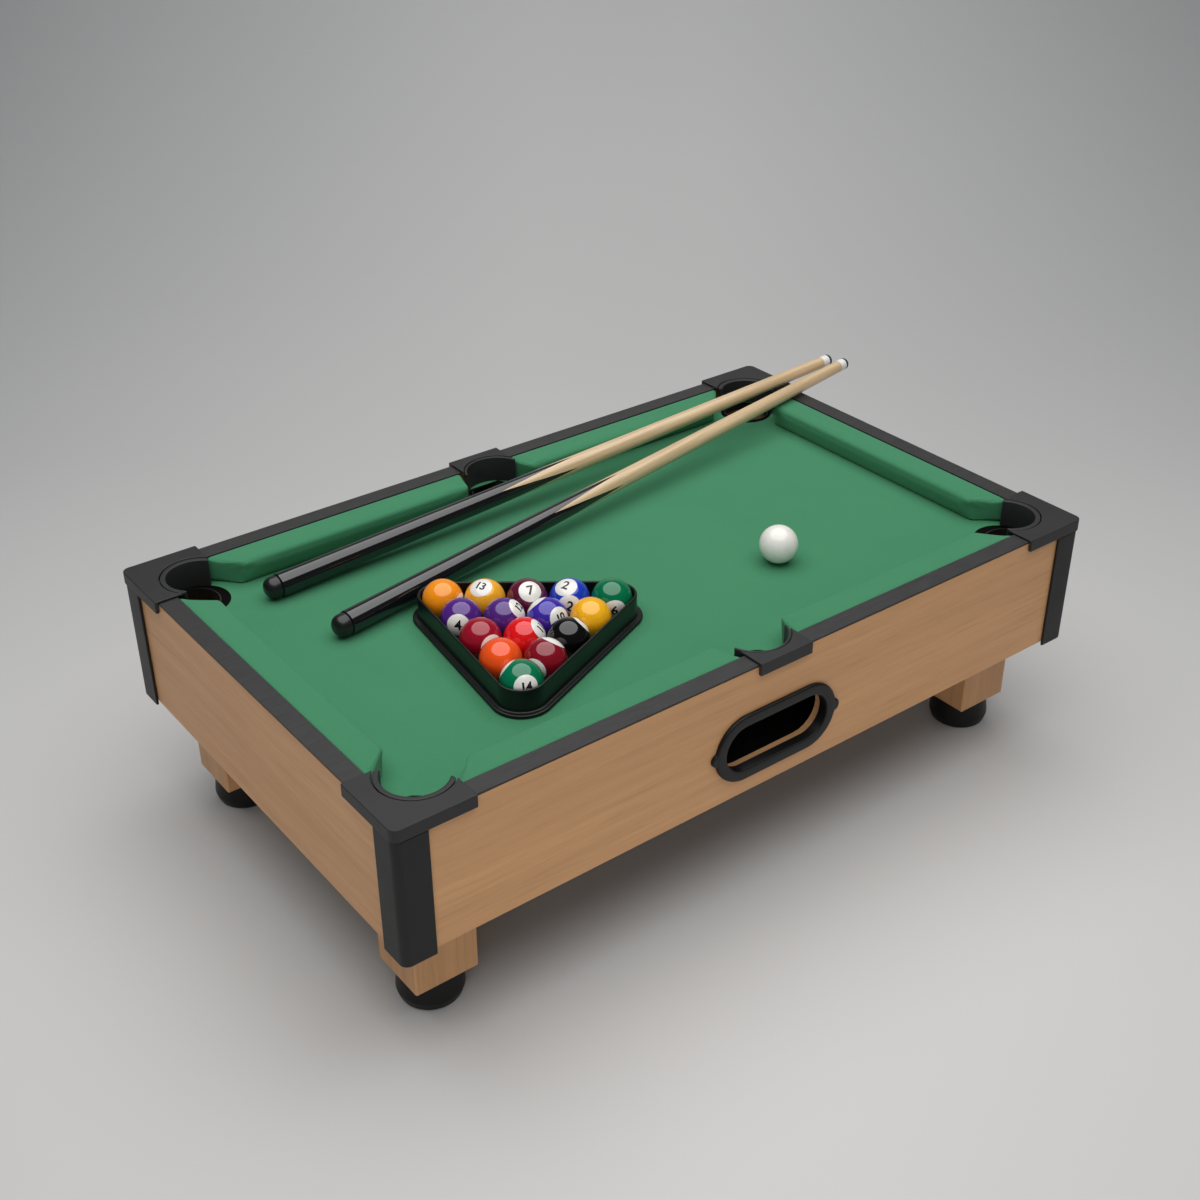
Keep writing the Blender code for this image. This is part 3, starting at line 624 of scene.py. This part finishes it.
def pocket_cap(name, outline, case_block, surface, place, node):
    """The plate on the rail with a lip down the outside: the cap's outline less the case under it."""
    cap = mesh_object(name, prism(place(outline), RAIL_TOP - CAP_LIP_DROP, CAP_TOP), surface)
    block = prism(place(case_block), RAIL_TOP - CAP_LIP_DROP - CUT_PAST, CAP_TOP - CAP_THICKNESS)
    cut(cap, mesh_object("case_block", block, surface))
    bevel(cap, CAP_EDGE)
    finish_piece(cap, "table", "cap_plastic", node)


def pocket_ring(name, centre, radius, width, ends, surface, place, node):
    """A rounded ring in the cap's opening with the liner wall below it. Its ends taper like finger tips."""
    top, under = CAP_TOP - RING_BELOW_CAP, RAIL_TOP + RING_CLEARANCE
    liner = radius + LINER_THICKNESS
    start, end = ends

    def section(outer):
        return rounded([
            (radius, CLOTH_TOP + GAP, 0), (radius, top, RING_INNER_EDGE), (outer, top, RING_OUTER_EDGE),
            (outer, under, 0), (liner, under, 0), (liner, CLOTH_TOP + GAP, 0),
        ])

    loops = []
    for k in range(RING_STEPS + 1):
        angle = start + (end - start) * k / RING_STEPS
        run = math.radians(min(abs(angle - start), abs(end - angle))) * radius
        left = max(0.0, 1 - run / RING_TAPER)
        narrowing = (width - LINER_THICKNESS - RING_CLEARANCE) * (1 - math.sqrt(1 - left**2))
        outer = radius + width - narrowing
        spoke = (math.cos(math.radians(angle)), math.sin(math.radians(angle)))
        loop = []
        for r, z in section(outer):
            x, y = place([(centre[0] + r * spoke[0], centre[1] + r * spoke[1])])[0]
            loop.append((x, y, z))
        loops.append(loop)
    ring = mesh_object(name, loft(loops), surface)
    finish_piece(ring, "table", "cap_plastic", node)


def drop_sleeve(name, centre, radius, surface, place, node):
    """The black tube below the cloth's edge that a ball drops through; its near-black, darker than the caps,
    is painted shade for the dark down the hole.
    """
    middle = place([centre])[0]
    top, foot = CLOTH_LOW.z - GAP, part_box("bed_board")[0].z
    bore = radius - SLEEVE_WALL
    profile = [(bore, foot), (radius, foot), (radius, top), (bore, top)]
    loops = [[(x, y, z) for x, y in arc(middle, r, 0, 360, RING_STEPS)[:-1]] for r, z in profile]
    sleeve = mesh_object(name, loft(loops, ring=True), surface)
    finish_piece(sleeve, "table", "cap_plastic", node)


def pockets(surface, sleeve_surface):
    """The cap, ring and drop sleeve of each pocket: four at the corners, then two at the sides."""
    lip = CAP_OVERHANG
    groove = CORNER_POCKET_RADIUS + CORNER_RING_WIDTH + RING_GROOVE
    reach = math.degrees(math.acos((CORNER_POCKET - CORNER_ARM) / groove)) - 90
    outline = [(CORNER_ARM, -lip)]
    outline += arc((CAP_CORNER_RADIUS - lip,) * 2, CAP_CORNER_RADIUS, 270, 180, 14)
    outline += [(-lip, CORNER_ARM)]
    outline += arc((CORNER_POCKET,) * 2, groove, 180 - reach, 270 + reach, 44)
    past = CORNER_ARM + CORNER_BLOCK_MARGIN
    block = [(-GAP, past), (past, past), (past, -GAP)]
    block += arc((CASE_CORNER_RADIUS,) * 2, CASE_CORNER_RADIUS + GAP, 270, 180, 10)
    for corner, signs in CORNERS.items():
        def place(points, signs=signs):
            return at_corner(points, signs)
        inwards, radius = BOARD_HOLES["corner"]
        bore = radius - GAP
        drop_sleeve(f"{corner}_sleeve", (inwards, inwards), bore, sleeve_surface, place, f"{corner}_cap")
        pocket_cap(f"{corner}_pocket_cap", outline, block, surface, place, f"{corner}_cap")
        pocket_ring(
            f"{corner}_pocket_ring", (CORNER_POCKET,) * 2, CORNER_POCKET_RADIUS, CORNER_RING_WIDTH,
            CORNER_RING_ENDS, surface, place, f"{corner}_cap",
        )

    groove = SIDE_POCKET_RADIUS + SIDE_RING_WIDTH + RING_GROOVE
    half = math.degrees(math.acos(SIDE_CAP_HALF / groove))
    outline = [(-SIDE_CAP_HALF, -lip), (SIDE_CAP_HALF, -lip)]
    outline += arc((0, SIDE_POCKET), groove, -half, half - 180, 36)
    reach = SIDE_BLOCK_HALF
    block = [(-reach, -GAP), (reach, -GAP), (reach, reach), (-reach, reach)]
    for side, sign in LONG_SIDES.items():
        def place(points, sign=sign):
            return at_side(points, sign)
        inwards, radius = BOARD_HOLES["side"]
        bore = radius - GAP
        drop_sleeve(f"{side}_side_sleeve", (0, inwards), bore, sleeve_surface, place, f"{side}_side_cap")
        pocket_cap(f"{side}_side_pocket_cap", outline, block, surface, place, f"{side}_side_cap")
        pocket_ring(
            f"{side}_side_pocket_ring", (0, SIDE_POCKET), SIDE_POCKET_RADIUS, SIDE_RING_WIDTH,
            SIDE_RING_ENDS, surface, place, f"{side}_side_cap",
        )


# ---- cloth ----


def bed_cloth(surface):
    """The cloth on the bed, with a rolled edge at every drop hole."""
    thickness = CLOTH_HIGH.z - CLOTH_LOW.z
    roll = thickness * CLOTH_ROLL_SHARE
    shape = bpy.data.curves.new("cloth_shape", "CURVE")
    shape.dimensions = "2D"
    shape.fill_mode = "BOTH"
    shape.extrude = thickness / 2 - roll
    shape.bevel_depth = roll
    shape.bevel_resolution = 3
    shape.offset = -roll
    (left, front), (right, back) = CLOTH_LOW.xy, CLOTH_HIGH.xy
    sides = [(left, front), (right, front), (right, back), (left, back)]
    holes = []
    for pocket, (inwards, radius) in CLOTH_HOLES.items():
        if pocket in CORNERS:
            circle = arc((inwards, inwards), radius, 0, 360, HOLE_STEPS)[:-1]
            holes.append(at_corner(circle, CORNERS[pocket]))
        else:
            circle = arc((0, inwards), radius, 0, 360, HOLE_STEPS)[:-1]
            holes.append(at_side(circle, LONG_SIDES[pocket]))
    for outline in (sides, *holes):
        spline = shape.splines.new("POLY")
        spline.points.add(len(outline) - 1)
        for point, (x, y) in zip(spline.points, outline):
            point.co = (x, y, 0, 1)
        spline.use_cyclic_u = True
    drawn = bpy.data.objects.new("cloth_shape", shape)
    bpy.context.scene.collection.objects.link(drawn)
    mesh = bpy.data.meshes.new_from_object(drawn.evaluated_get(bpy.context.evaluated_depsgraph_get()))
    bpy.data.objects.remove(drawn)
    mesh_builder = bmesh.new()
    mesh_builder.from_mesh(mesh)
    bmesh.ops.remove_doubles(mesh_builder, verts=mesh_builder.verts[:], dist=CLOTH_WELD)
    lift = (0, 0, CLOTH_LOW.z + thickness / 2)
    bmesh.ops.translate(mesh_builder, verts=mesh_builder.verts[:], vec=lift)
    cloth = mesh_object("playing_cloth", mesh_builder, surface, sharp=30)
    finish_piece(cloth, "table", "green_felt", "bed_cloth")


def cushion_section():
    """The cover's outline: inwards from the case's outer face, height, and whether the cloth is held."""
    back, strip_edge = PANEL_THICKNESS + GAP, STRIP_WIDTH + GAP
    low, top = CLOTH_TOP + GAP, RAIL_TOP - CUSHION_SLACK
    nose = CUSHION_NOSE - CUSHION_SLACK
    under_strip = PANEL_TOP - CUSHION_BACK_DROP
    points = finer(rounded([
        (nose - CUSHION_UNDERCUT, low, CUSHION_TOE_ROUNDING),
        (nose + CUSHION_NOSE_PEAK, top, CUSHION_NOSE_ROUNDING), (strip_edge, top, CUSHION_HEEL_ROUNDING),
        (strip_edge, under_strip, 0), (back, under_strip, 0), (back, low, 0),
    ], steps=6), CUSHION_SECTION_STEP)
    held_back, held_under = strip_edge + CUSHION_HELD_BACK, low + CUSHION_HELD_UNDER
    return [(b, z, b < held_back or z < held_under) for b, z in points]


def cushion(name, near, far, place, surface):
    """A cushion along one rail. near and far give each end's position for a distance inwards."""
    section = cushion_section()
    middle = Vector((CUSHION_CORE, (CLOTH_TOP + RAIL_TOP) / 2))
    length = abs(far(STRIP_WIDTH) - near(STRIP_WIDTH))
    count = round(length / CUSHION_STEP)
    radius = CUSHION_END_RADIUS
    sign = 1 if far(STRIP_WIDTH) > near(STRIP_WIDTH) else -1
    angles = [math.radians(18 * k) for k in range(5)]
    rounding = [(radius * (1 - math.cos(a)), radius * (1 - math.sin(a))) for a in angles]
    stations = [(0, run, inset) for run, inset in rounding]
    stations += [(k / count, radius * (1 - 2 * k / count), 0) for k in range(count + 1)]
    stations += [(1, -run, inset) for run, inset in reversed(rounding)]
    loops = []
    for share, run, inset in stations:
        loop = []
        for b, z, _ in section:
            way = (Vector((b, z)) - middle).normalized() * inset
            along = near(b) + (far(b) - near(b)) * share + sign * run
            x, y = place(along, b - way.x)
            loop.append((x, y, z - way.y))
        loops.append(loop)
    obj = mesh_object(name, loft(loops), surface, sharp=80)
    held = obj.vertex_groups.new(name="held")
    held.add([i for i in range(len(obj.data.vertices)) if section[i % len(section)][2]], 1.0, "REPLACE")
    return obj


def swell(covers):
    """Air pressure rounds the covers, whose backs and undersides are held. No point moves past the slack."""
    scene = bpy.context.scene
    for obj in covers:
        step = obj.modifiers.new("swell", "CLOTH")
        step.settings.quality = SWELL_QUALITY
        step.settings.mass = SWELL_MASS
        step.settings.vertex_group_mass = "held"
        step.settings.use_pressure = True
        step.settings.uniform_pressure_force = SWELL_PRESSURE
        step.settings.effector_weights.gravity = 0
        step.collision_settings.use_collision = False
        step.point_cache.frame_start, step.point_cache.frame_end = 1, SWELL_FRAMES
    for number in range(1, SWELL_FRAMES + 1):
        scene.frame_set(number)
    graph = bpy.context.evaluated_depsgraph_get()
    for obj in covers:
        moved = [v.co.copy() for v in obj.evaluated_get(graph).data.vertices]
        obj.modifiers.clear()
        for vertex, there in zip(obj.data.vertices, moved):
            step = there - vertex.co
            if step.length > CUSHION_SLACK:
                step *= CUSHION_SLACK / step.length
            vertex.co += step
    scene.frame_set(1)


def cushions(surface):
    """Two covered cushions along each long side and one along each short side."""
    def corner_end(half):
        return lambda inward: half - CORNER_END_AT_STRIP - (inward - STRIP_WIDTH) * CORNER_END_SPLAY

    def side_end(inward):
        return SIDE_END_AT_STRIP + (inward - STRIP_WIDTH) * SIDE_END_SPLAY

    covers = {}
    for side, sign in LONG_SIDES.items():
        for end, way in SHORT_SIDES.items():
            def place(along, inward, sign=sign, way=way):
                return MIDDLE.x + way * along, MIDDLE.y + sign * (HALF_WIDTH - inward)
            node = f"{side}_{end}_cushion"
            covers[node] = cushion(f"{side}_{end}_cover", side_end, corner_end(HALF_LENGTH), place, surface)
    for end, sign in SHORT_SIDES.items():
        def place(along, inward, sign=sign):
            return MIDDLE.x + sign * (HALF_LENGTH - inward), MIDDLE.y + along
        far = corner_end(HALF_WIDTH)
        covers[f"{end}_cushion"] = cushion(f"{end}_cover", lambda inward: -far(inward), far, place, surface)
    swell(covers.values())
    for node, cover in covers.items():
        smooth = cover.modifiers.new("smooth", "SUBSURF")
        smooth.levels = smooth.render_levels = 1
        finish_piece(cover, "table", "green_felt", node)


# ---- ball return ----


def return_bezel(surface):
    """The oval frame round the ball return: a flange, a short tube into the panel and two screw ears."""
    middle = (BEZEL_LOW + BEZEL_HIGH) / 2
    face = CASE_LOW.y
    proud, deep = face - BEZEL_LOW.y, BEZEL_HIGH.y - face

    def oval(radius, out):
        right = arc((middle.x + BEZEL_REACH, middle.z), radius, -90, 90, 40)
        left = arc((middle.x - BEZEL_REACH, middle.z), radius, 90, 270, 40)
        return [(x, face - out, z) for x, z in right + left]

    tube = MOUTH_RADIUS + BEZEL_WALL
    profile = rounded([
        (MOUTH_RADIUS, -deep, BEZEL_TUBE_EDGE), (MOUTH_RADIUS, proud, BEZEL_INNER_EDGE),
        (BEZEL_RADIUS, proud, BEZEL_OUTER_EDGE), (BEZEL_RADIUS, GAP, 0), (tube, GAP, 0),
        (tube, -deep, BEZEL_TUBE_EDGE),
    ], steps=6)
    bezel = mesh_object("return_bezel", loft([oval(r, out) for r, out in profile], ring=True), surface)
    finish_piece(bezel, "table", "bezel_plastic", "ball_return_bezel")
    profile = rounded([
        (TURNED_CORE, 0, 0), (EAR_RADIUS, 0, 0), (EAR_RADIUS, EAR_PROUD, EAR_EDGE),
        (TURNED_CORE, EAR_PROUD, 0),
    ], steps=6)
    for name, x in (("left", BEZEL_LOW.x + EAR_RADIUS), ("right", BEZEL_HIGH.x - EAR_RADIUS)):
        place = Matrix.Translation((x, face - GAP, middle.z)) @ Matrix.Rotation(math.radians(90), 4, "X")
        ear = mesh_object(f"bezel_{name}_ear", turned(profile, count=40), surface, place)
        finish_piece(ear, "table", "bezel_plastic", "ball_return_bezel")


# ---- balls and rack ----


def digits(number):
    """The number as closed solids bent round a ball, their middle on +Z and their top along +Y."""
    text = bpy.data.curves.new("digits", "FONT")
    text.body = str(number)
    text.align_x, text.align_y = "CENTER", "CENTER"
    text.size = DIGIT_SIZES[len(text.body)]
    text.offset = DIGIT_BOLDNESS
    text.extrude = DIGIT_DEPTH / 2
    text.space_character = DIGIT_SPACING
    drawn = bpy.data.objects.new("digits", text)
    bpy.context.scene.collection.objects.link(drawn)
    mesh = bpy.data.meshes.new_from_object(drawn.evaluated_get(bpy.context.evaluated_depsgraph_get()))
    bpy.data.objects.remove(drawn)
    mesh_builder = bmesh.new()
    mesh_builder.from_mesh(mesh)
    bmesh.ops.remove_doubles(mesh_builder, verts=mesh_builder.verts[:], dist=DIGIT_WELD)
    for axis in ((1, 0, 0), (0, 1, 0)):
        for k in range(-DIGIT_CUTS, DIGIT_CUTS + 1):
            everything = mesh_builder.verts[:] + mesh_builder.edges[:] + mesh_builder.faces[:]
            level = Vector(axis) * k * DIGIT_GRID
            bmesh.ops.bisect_plane(mesh_builder, geom=everything, plane_co=level, plane_no=axis)
    bmesh.ops.triangulate(mesh_builder, faces=mesh_builder.faces[:])
    for vertex in mesh_builder.verts:
        flat = Vector((vertex.co.x, vertex.co.y, 0))
        turn = flat.length / BALL_RADIUS
        way = flat.normalized() * math.sin(turn) + Vector((0, 0, math.cos(turn)))
        vertex.co = way * (BALL_RADIUS + vertex.co.z - DIGIT_DEPTH / 2 + DIGIT_PROUD)
    bmesh.ops.recalc_face_normals(mesh_builder, faces=mesh_builder.faces[:])
    mesh_builder.to_mesh(mesh)
    mesh_builder.free()
    return mesh


def sphere():
    """A ball's mesh, fine enough to look round close up."""
    mesh_builder = bmesh.new()
    bmesh.ops.create_icosphere(mesh_builder, subdivisions=5, radius=BALL_RADIUS)
    return mesh_builder


def ball(number, ink):
    """A ball whose number faces its local +Z, turned to where the number faces on the table."""
    node = f"ball_{number:02d}"
    mesh_builder = sphere()
    colour, number_faces, cap_faces = BALLS[number]
    out = direction(*number_faces)
    up = (Vector((0, 0, 1)) - out * out.z).normalized()
    turn = Matrix((up.cross(out), up, out)).transposed()
    patches = [(0, 0, 1)]
    caps = [turn.inverted() @ direction(*cap_faces)] if cap_faces else []
    marks = [Matrix.Identity(3)]
    if number in SECOND_NUMBERS:
        other = turn.inverted() @ direction(*SECOND_NUMBERS[number])
        patches.append(other)
        marks.append(Vector((0, 0, 1)).rotation_difference(other).to_matrix())
    printed = digits(number)
    for mark in marks:
        copy = printed.copy()
        copy.transform(mark.to_4x4())
        first = len(mesh_builder.faces)
        mesh_builder.from_mesh(copy)
        mesh_builder.faces.ensure_lookup_table()
        for face in mesh_builder.faces[first:]:
            face.material_index = 1
    surface = resin(f"{node}_look", colour, caps, patches)
    place = Matrix.Translation(middle_of(node)) @ turn.to_4x4()
    obj = mesh_object(f"pool_{node}", mesh_builder, surface, place)
    obj.data.materials.append(ink)
    finish_piece(obj, node, f"{node}_resin", node)


def balls():
    ink = Surface("number_ink", 0.25)
    ink.colour(ink.mix(ink.swing(ink.noise(900, detail=3)), INK_DARK, INK_LIGHT))
    for number in BALLS:
        ball(number, ink.material)
    place = Matrix.Translation(middle_of("cue_ball"))
    white_ball = mesh_object("white_ball", sphere(), resin("cue_ball_resin_look", WHITE_RESIN), place)
    finish_piece(white_ball, "cue_ball", "cue_ball_resin", "cue_ball")


def triangle_rack():
    """A thin-walled triangle with a foot flange, every outline concentric with the corner balls."""
    corners = [middle_of(f"ball_{n:02d}").to_2d() for n in (9, 14, 6)]
    centre = sum(corners, Vector((0, 0))) / 3
    forward = (corners[1] - centre).normalized()
    low, high = (level.z - CLOTH_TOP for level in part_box("triangle_rack"))
    outer = RACK_INNER + RACK_WALL
    ledge = low + RACK_FLANGE_HEIGHT
    profile = rounded([
        (RACK_INNER, low, 0), (RACK_FLANGE, low, RACK_FOOT_EDGE), (RACK_FLANGE, ledge, RACK_FLANGE_EDGE),
        (outer, ledge, RACK_FILLET), (outer, high, RACK_TOP_EDGE), (RACK_INNER, high, RACK_TOP_EDGE),
    ])
    loops = []
    for offset, height in profile:
        loop = []
        for corner in corners:
            arm = corner - centre
            facing = math.degrees(math.atan2(arm.y, arm.x))
            loop += [(x, y, height) for x, y in arc(arm, offset, facing - 60, facing + 60, 28)]
        loops.append(loop)
    black = plastic("rack_look", RACK_BLACK, 0.30, grain=0.12, Specular_IOR_Level=0.35)
    place = Matrix.Translation((*(centre + forward * RACK_NUDGE), CLOTH_TOP))
    rack = mesh_object("ball_rack", loft(loops, ring=True), black, place)
    finish_piece(rack, "triangle_rack", "rack_plastic", "triangle_rack")


# ---- cues ----


def node_centre(name):
    points = [v.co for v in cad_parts[name].data.vertices]
    return sum(points, Vector()) / len(points)


def cue(name, looks):
    """One cue, built along X from its butt end: bumper, stick, ferrule and tip."""
    axis = (node_centre(f"{name}_tip") - node_centre(f"{name}_bumper")).normalized()
    centre = node_centre(f"{name}_bumper")

    def ends(part):
        along = [axis.dot(v.co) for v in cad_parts[f"{name}_{part}"].data.vertices]
        return min(along), max(along)

    def radius_at(part, chosen):
        """Widest distance from the axis near one end of a part."""
        points = [v.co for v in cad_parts[f"{name}_{part}"].data.vertices]
        near = [p for p in points if abs(axis.dot(p) - chosen) < CUE_END_REACH]
        return max(((p - centre) - axis * axis.dot(p - centre)).length for p in near)

    start = ends("bumper")[0]
    bumper_end, stick_start = ends("bumper")[1] - start, ends("stick")[0] - start
    stick_end, ferrule_start = ends("stick")[1] - start, ends("ferrule")[0] - start
    ferrule_end, tip_start, length = (v - start for v in (ends("ferrule")[1], *ends("tip")))
    thick = radius_at("stick", ends("stick")[0])
    slim = radius_at("ferrule", ends("ferrule")[1])
    across = Vector((0, 0, 1)).cross(axis).normalized()
    place = Matrix((axis, across, axis.cross(across))).transposed().to_4x4()
    place.translation = centre + axis * (start - axis.dot(centre))
    profiles = {
        "bumper": rounded([
            (TURNED_CORE, 0, 0), (BUMPER_START_SHARE * thick, 0, BUMPER_DOME),
            (BUMPER_END_SHARE * thick, bumper_end, BUMPER_EDGE), (TURNED_CORE, bumper_end, 0),
        ], steps=8),
        "stick": rounded([
            (TURNED_CORE, stick_start, 0), (thick, stick_start, BUTT_EDGE), (slim, stick_end, 0),
            (TURNED_CORE, stick_end, 0),
        ], steps=6),
        "ferrule": rounded([
            (TURNED_CORE, ferrule_start, 0), (slim, ferrule_start, 0), (slim, ferrule_end, FERRULE_EDGE),
            (TURNED_CORE, ferrule_end, 0),
        ]),
        "tip": rounded([
            (TURNED_CORE, tip_start, 0), (slim, tip_start, TIP_EDGE),
            (TIP_SHARE * slim, length, TIP_DOME), (TURNED_CORE, length, 0),
        ], steps=7),
    }
    for part, profile in profiles.items():
        surface, slot = looks[part]
        obj = mesh_object(f"{name}_{part}_turned", turned(profile, "X", 48), surface, place)
        finish_piece(obj, name, slot, f"{name}_{part}")


def cues():
    looks = {
        "bumper": (plastic("bumper_look", BUMPER_BLACK, 0.28, grain=0.10), "bumper_rubber"),
        "stick": (cue_lacquer(), "cue_lacquer"),
        "ferrule": (plastic("ferrule_look", FERRULE_WHITE, 0.30, grain=0.05), "ferrule_white"),
        "tip": (leather("tip_look", TIP_BLUE), "tip_leather"),
    }
    for name in ("back_cue", "front_cue"):
        cue(name, looks)


# ---- studio ----


def backdrop():
    """A pale floor that sweeps up behind the table and faces the camera, with painted shade that darkens it
    further back and to the sides.
    """
    radius = SWEEP_RADIUS
    angles = [math.radians(3 * k) for k in range(31)]
    profile = [(SWEEP_FRONT, 0.0)]
    profile += [(SWEEP_START + radius * math.sin(a), radius * (1 - math.cos(a))) for a in angles]
    profile += [(SWEEP_START + radius, SWEEP_TOP)]
    away = Vector((math.sin(CAMERA_AZIMUTH), math.cos(CAMERA_AZIMUTH), 0))
    side = Vector((away.y, -away.x, 0))
    mesh_builder = bmesh.new()
    rows = []
    for distance, height in profile:
        point = Vector((MIDDLE.x, MIDDLE.y, 0)) + away * distance + Vector((0, 0, height))
        reaches = (-SWEEP_HALF_WIDTH, SWEEP_HALF_WIDTH)
        rows.append([mesh_builder.verts.new(point + side * reach) for reach in reaches])
    for first, second in zip(rows, rows[1:]):
        mesh_builder.faces.new((first[0], first[1], second[1], second[0]))
    s = Surface("backdrop_paper", 0.7, Specular_IOR_Level=0.2)
    depth, across = s.along(s.place, away), s.along(s.place, side)
    # Painted shade: a fall-off of light painted into the paper, darker further back and towards both sides
    sides = s.spread(s.maths("ABSOLUTE", across), 0.1, 1.0, 0.0, 0.45)
    shade = s.maths("ADD", s.spread(depth, -0.2, 1.4, 0.0, 0.60), sides)
    paper = s.mix(s.swing(s.noise(1.2, detail=2)), PAPER_DARK, PAPER_LIGHT)
    s.colour(s.mix(shade, paper, PAPER_SHADE))
    mesh_object("studio_sweep", mesh_builder, s.material)


def area_light(name, place, target, **settings):
    data = bpy.data.lights.new(name, "AREA")
    for setting, value in settings.items():
        setattr(data, setting, value)
    obj = bpy.data.objects.new(name, data)
    obj.location = place
    obj.rotation_euler = (Vector(target) - Vector(place)).to_track_quat("-Z", "Y").to_euler()
    bpy.context.scene.collection.objects.link(obj)
    return obj


def studio():
    backdrop()
    table = Vector((MIDDLE.x, MIDDLE.y, RAIL_TOP))
    above = table + Vector((0, 0, SOFTBOX_HEIGHT))
    area_light("overhead_softbox", above, table, energy=SOFTBOX_POWER, size=SOFTBOX_SIZE, shape="DISK")
    towards_camera = Vector((-math.sin(CAMERA_AZIMUTH), -math.cos(CAMERA_AZIMUTH), FILL_RISE)).normalized()
    fill = area_light(
        "front_fill", table + towards_camera * FILL_DISTANCE, table, energy=FILL_POWER, size=FILL_WIDTH,
        size_y=FILL_HEIGHT, shape="RECTANGLE",
    )
    fill.visible_glossy = False
    world = bpy.data.worlds.new("studio")
    world.use_nodes = True
    world.node_tree.nodes["Background"].inputs["Color"].default_value = WORLD_GREY
    bpy.context.scene.world = world
    bpy.context.scene.view_settings.view_transform = "Standard"


def camera():
    data = bpy.data.cameras.new("photo_camera")
    data.lens = CAMERA_LENS
    data.clip_start = 0.01
    forward = Vector((math.sin(CAMERA_AZIMUTH), math.cos(CAMERA_AZIMUTH), -math.tan(CAMERA_ELEVATION)))
    forward.normalize()
    right = forward.cross(Vector((0, 0, 1))).normalized()
    up = right.cross(forward)
    rolled = right * math.cos(CAMERA_ROLL) + up * math.sin(CAMERA_ROLL)
    obj = bpy.data.objects.new("photo_camera", data)
    turn = Matrix((rolled, rolled.cross(forward), -forward)).transposed().to_4x4()
    obj.matrix_world = Matrix.Translation(Vector((MIDDLE.x, MIDDLE.y, CASE_BOTTOM)) + CAMERA_OFFSET) @ turn
    bpy.context.scene.collection.objects.link(obj)
    bpy.context.scene.camera = obj


def build():
    camera()
    case_and_legs()
    corner_trims(plastic("moulding_look", MOULDING_BLACK, 0.46, Specular_IOR_Level=0.32))
    feet(plastic("foot_look", FOOT_BLACK, 0.42, Specular_IOR_Level=0.3))
    cap_plastic = plastic("cap_look", CAP_BLACK, 0.46, Specular_IOR_Level=0.34)
    pockets(cap_plastic, plastic("sleeve_shade_look", SLEEVE_SHADE_BLACK, 0.6))
    green = felt("felt_look", FELT_GREEN)
    bed_cloth(green)
    cushions(green)
    return_bezel(plastic("bezel_look", BEZEL_BLACK, 0.40, Specular_IOR_Level=0.32))
    balls()
    triangle_rack()
    cues()
    studio()


build()
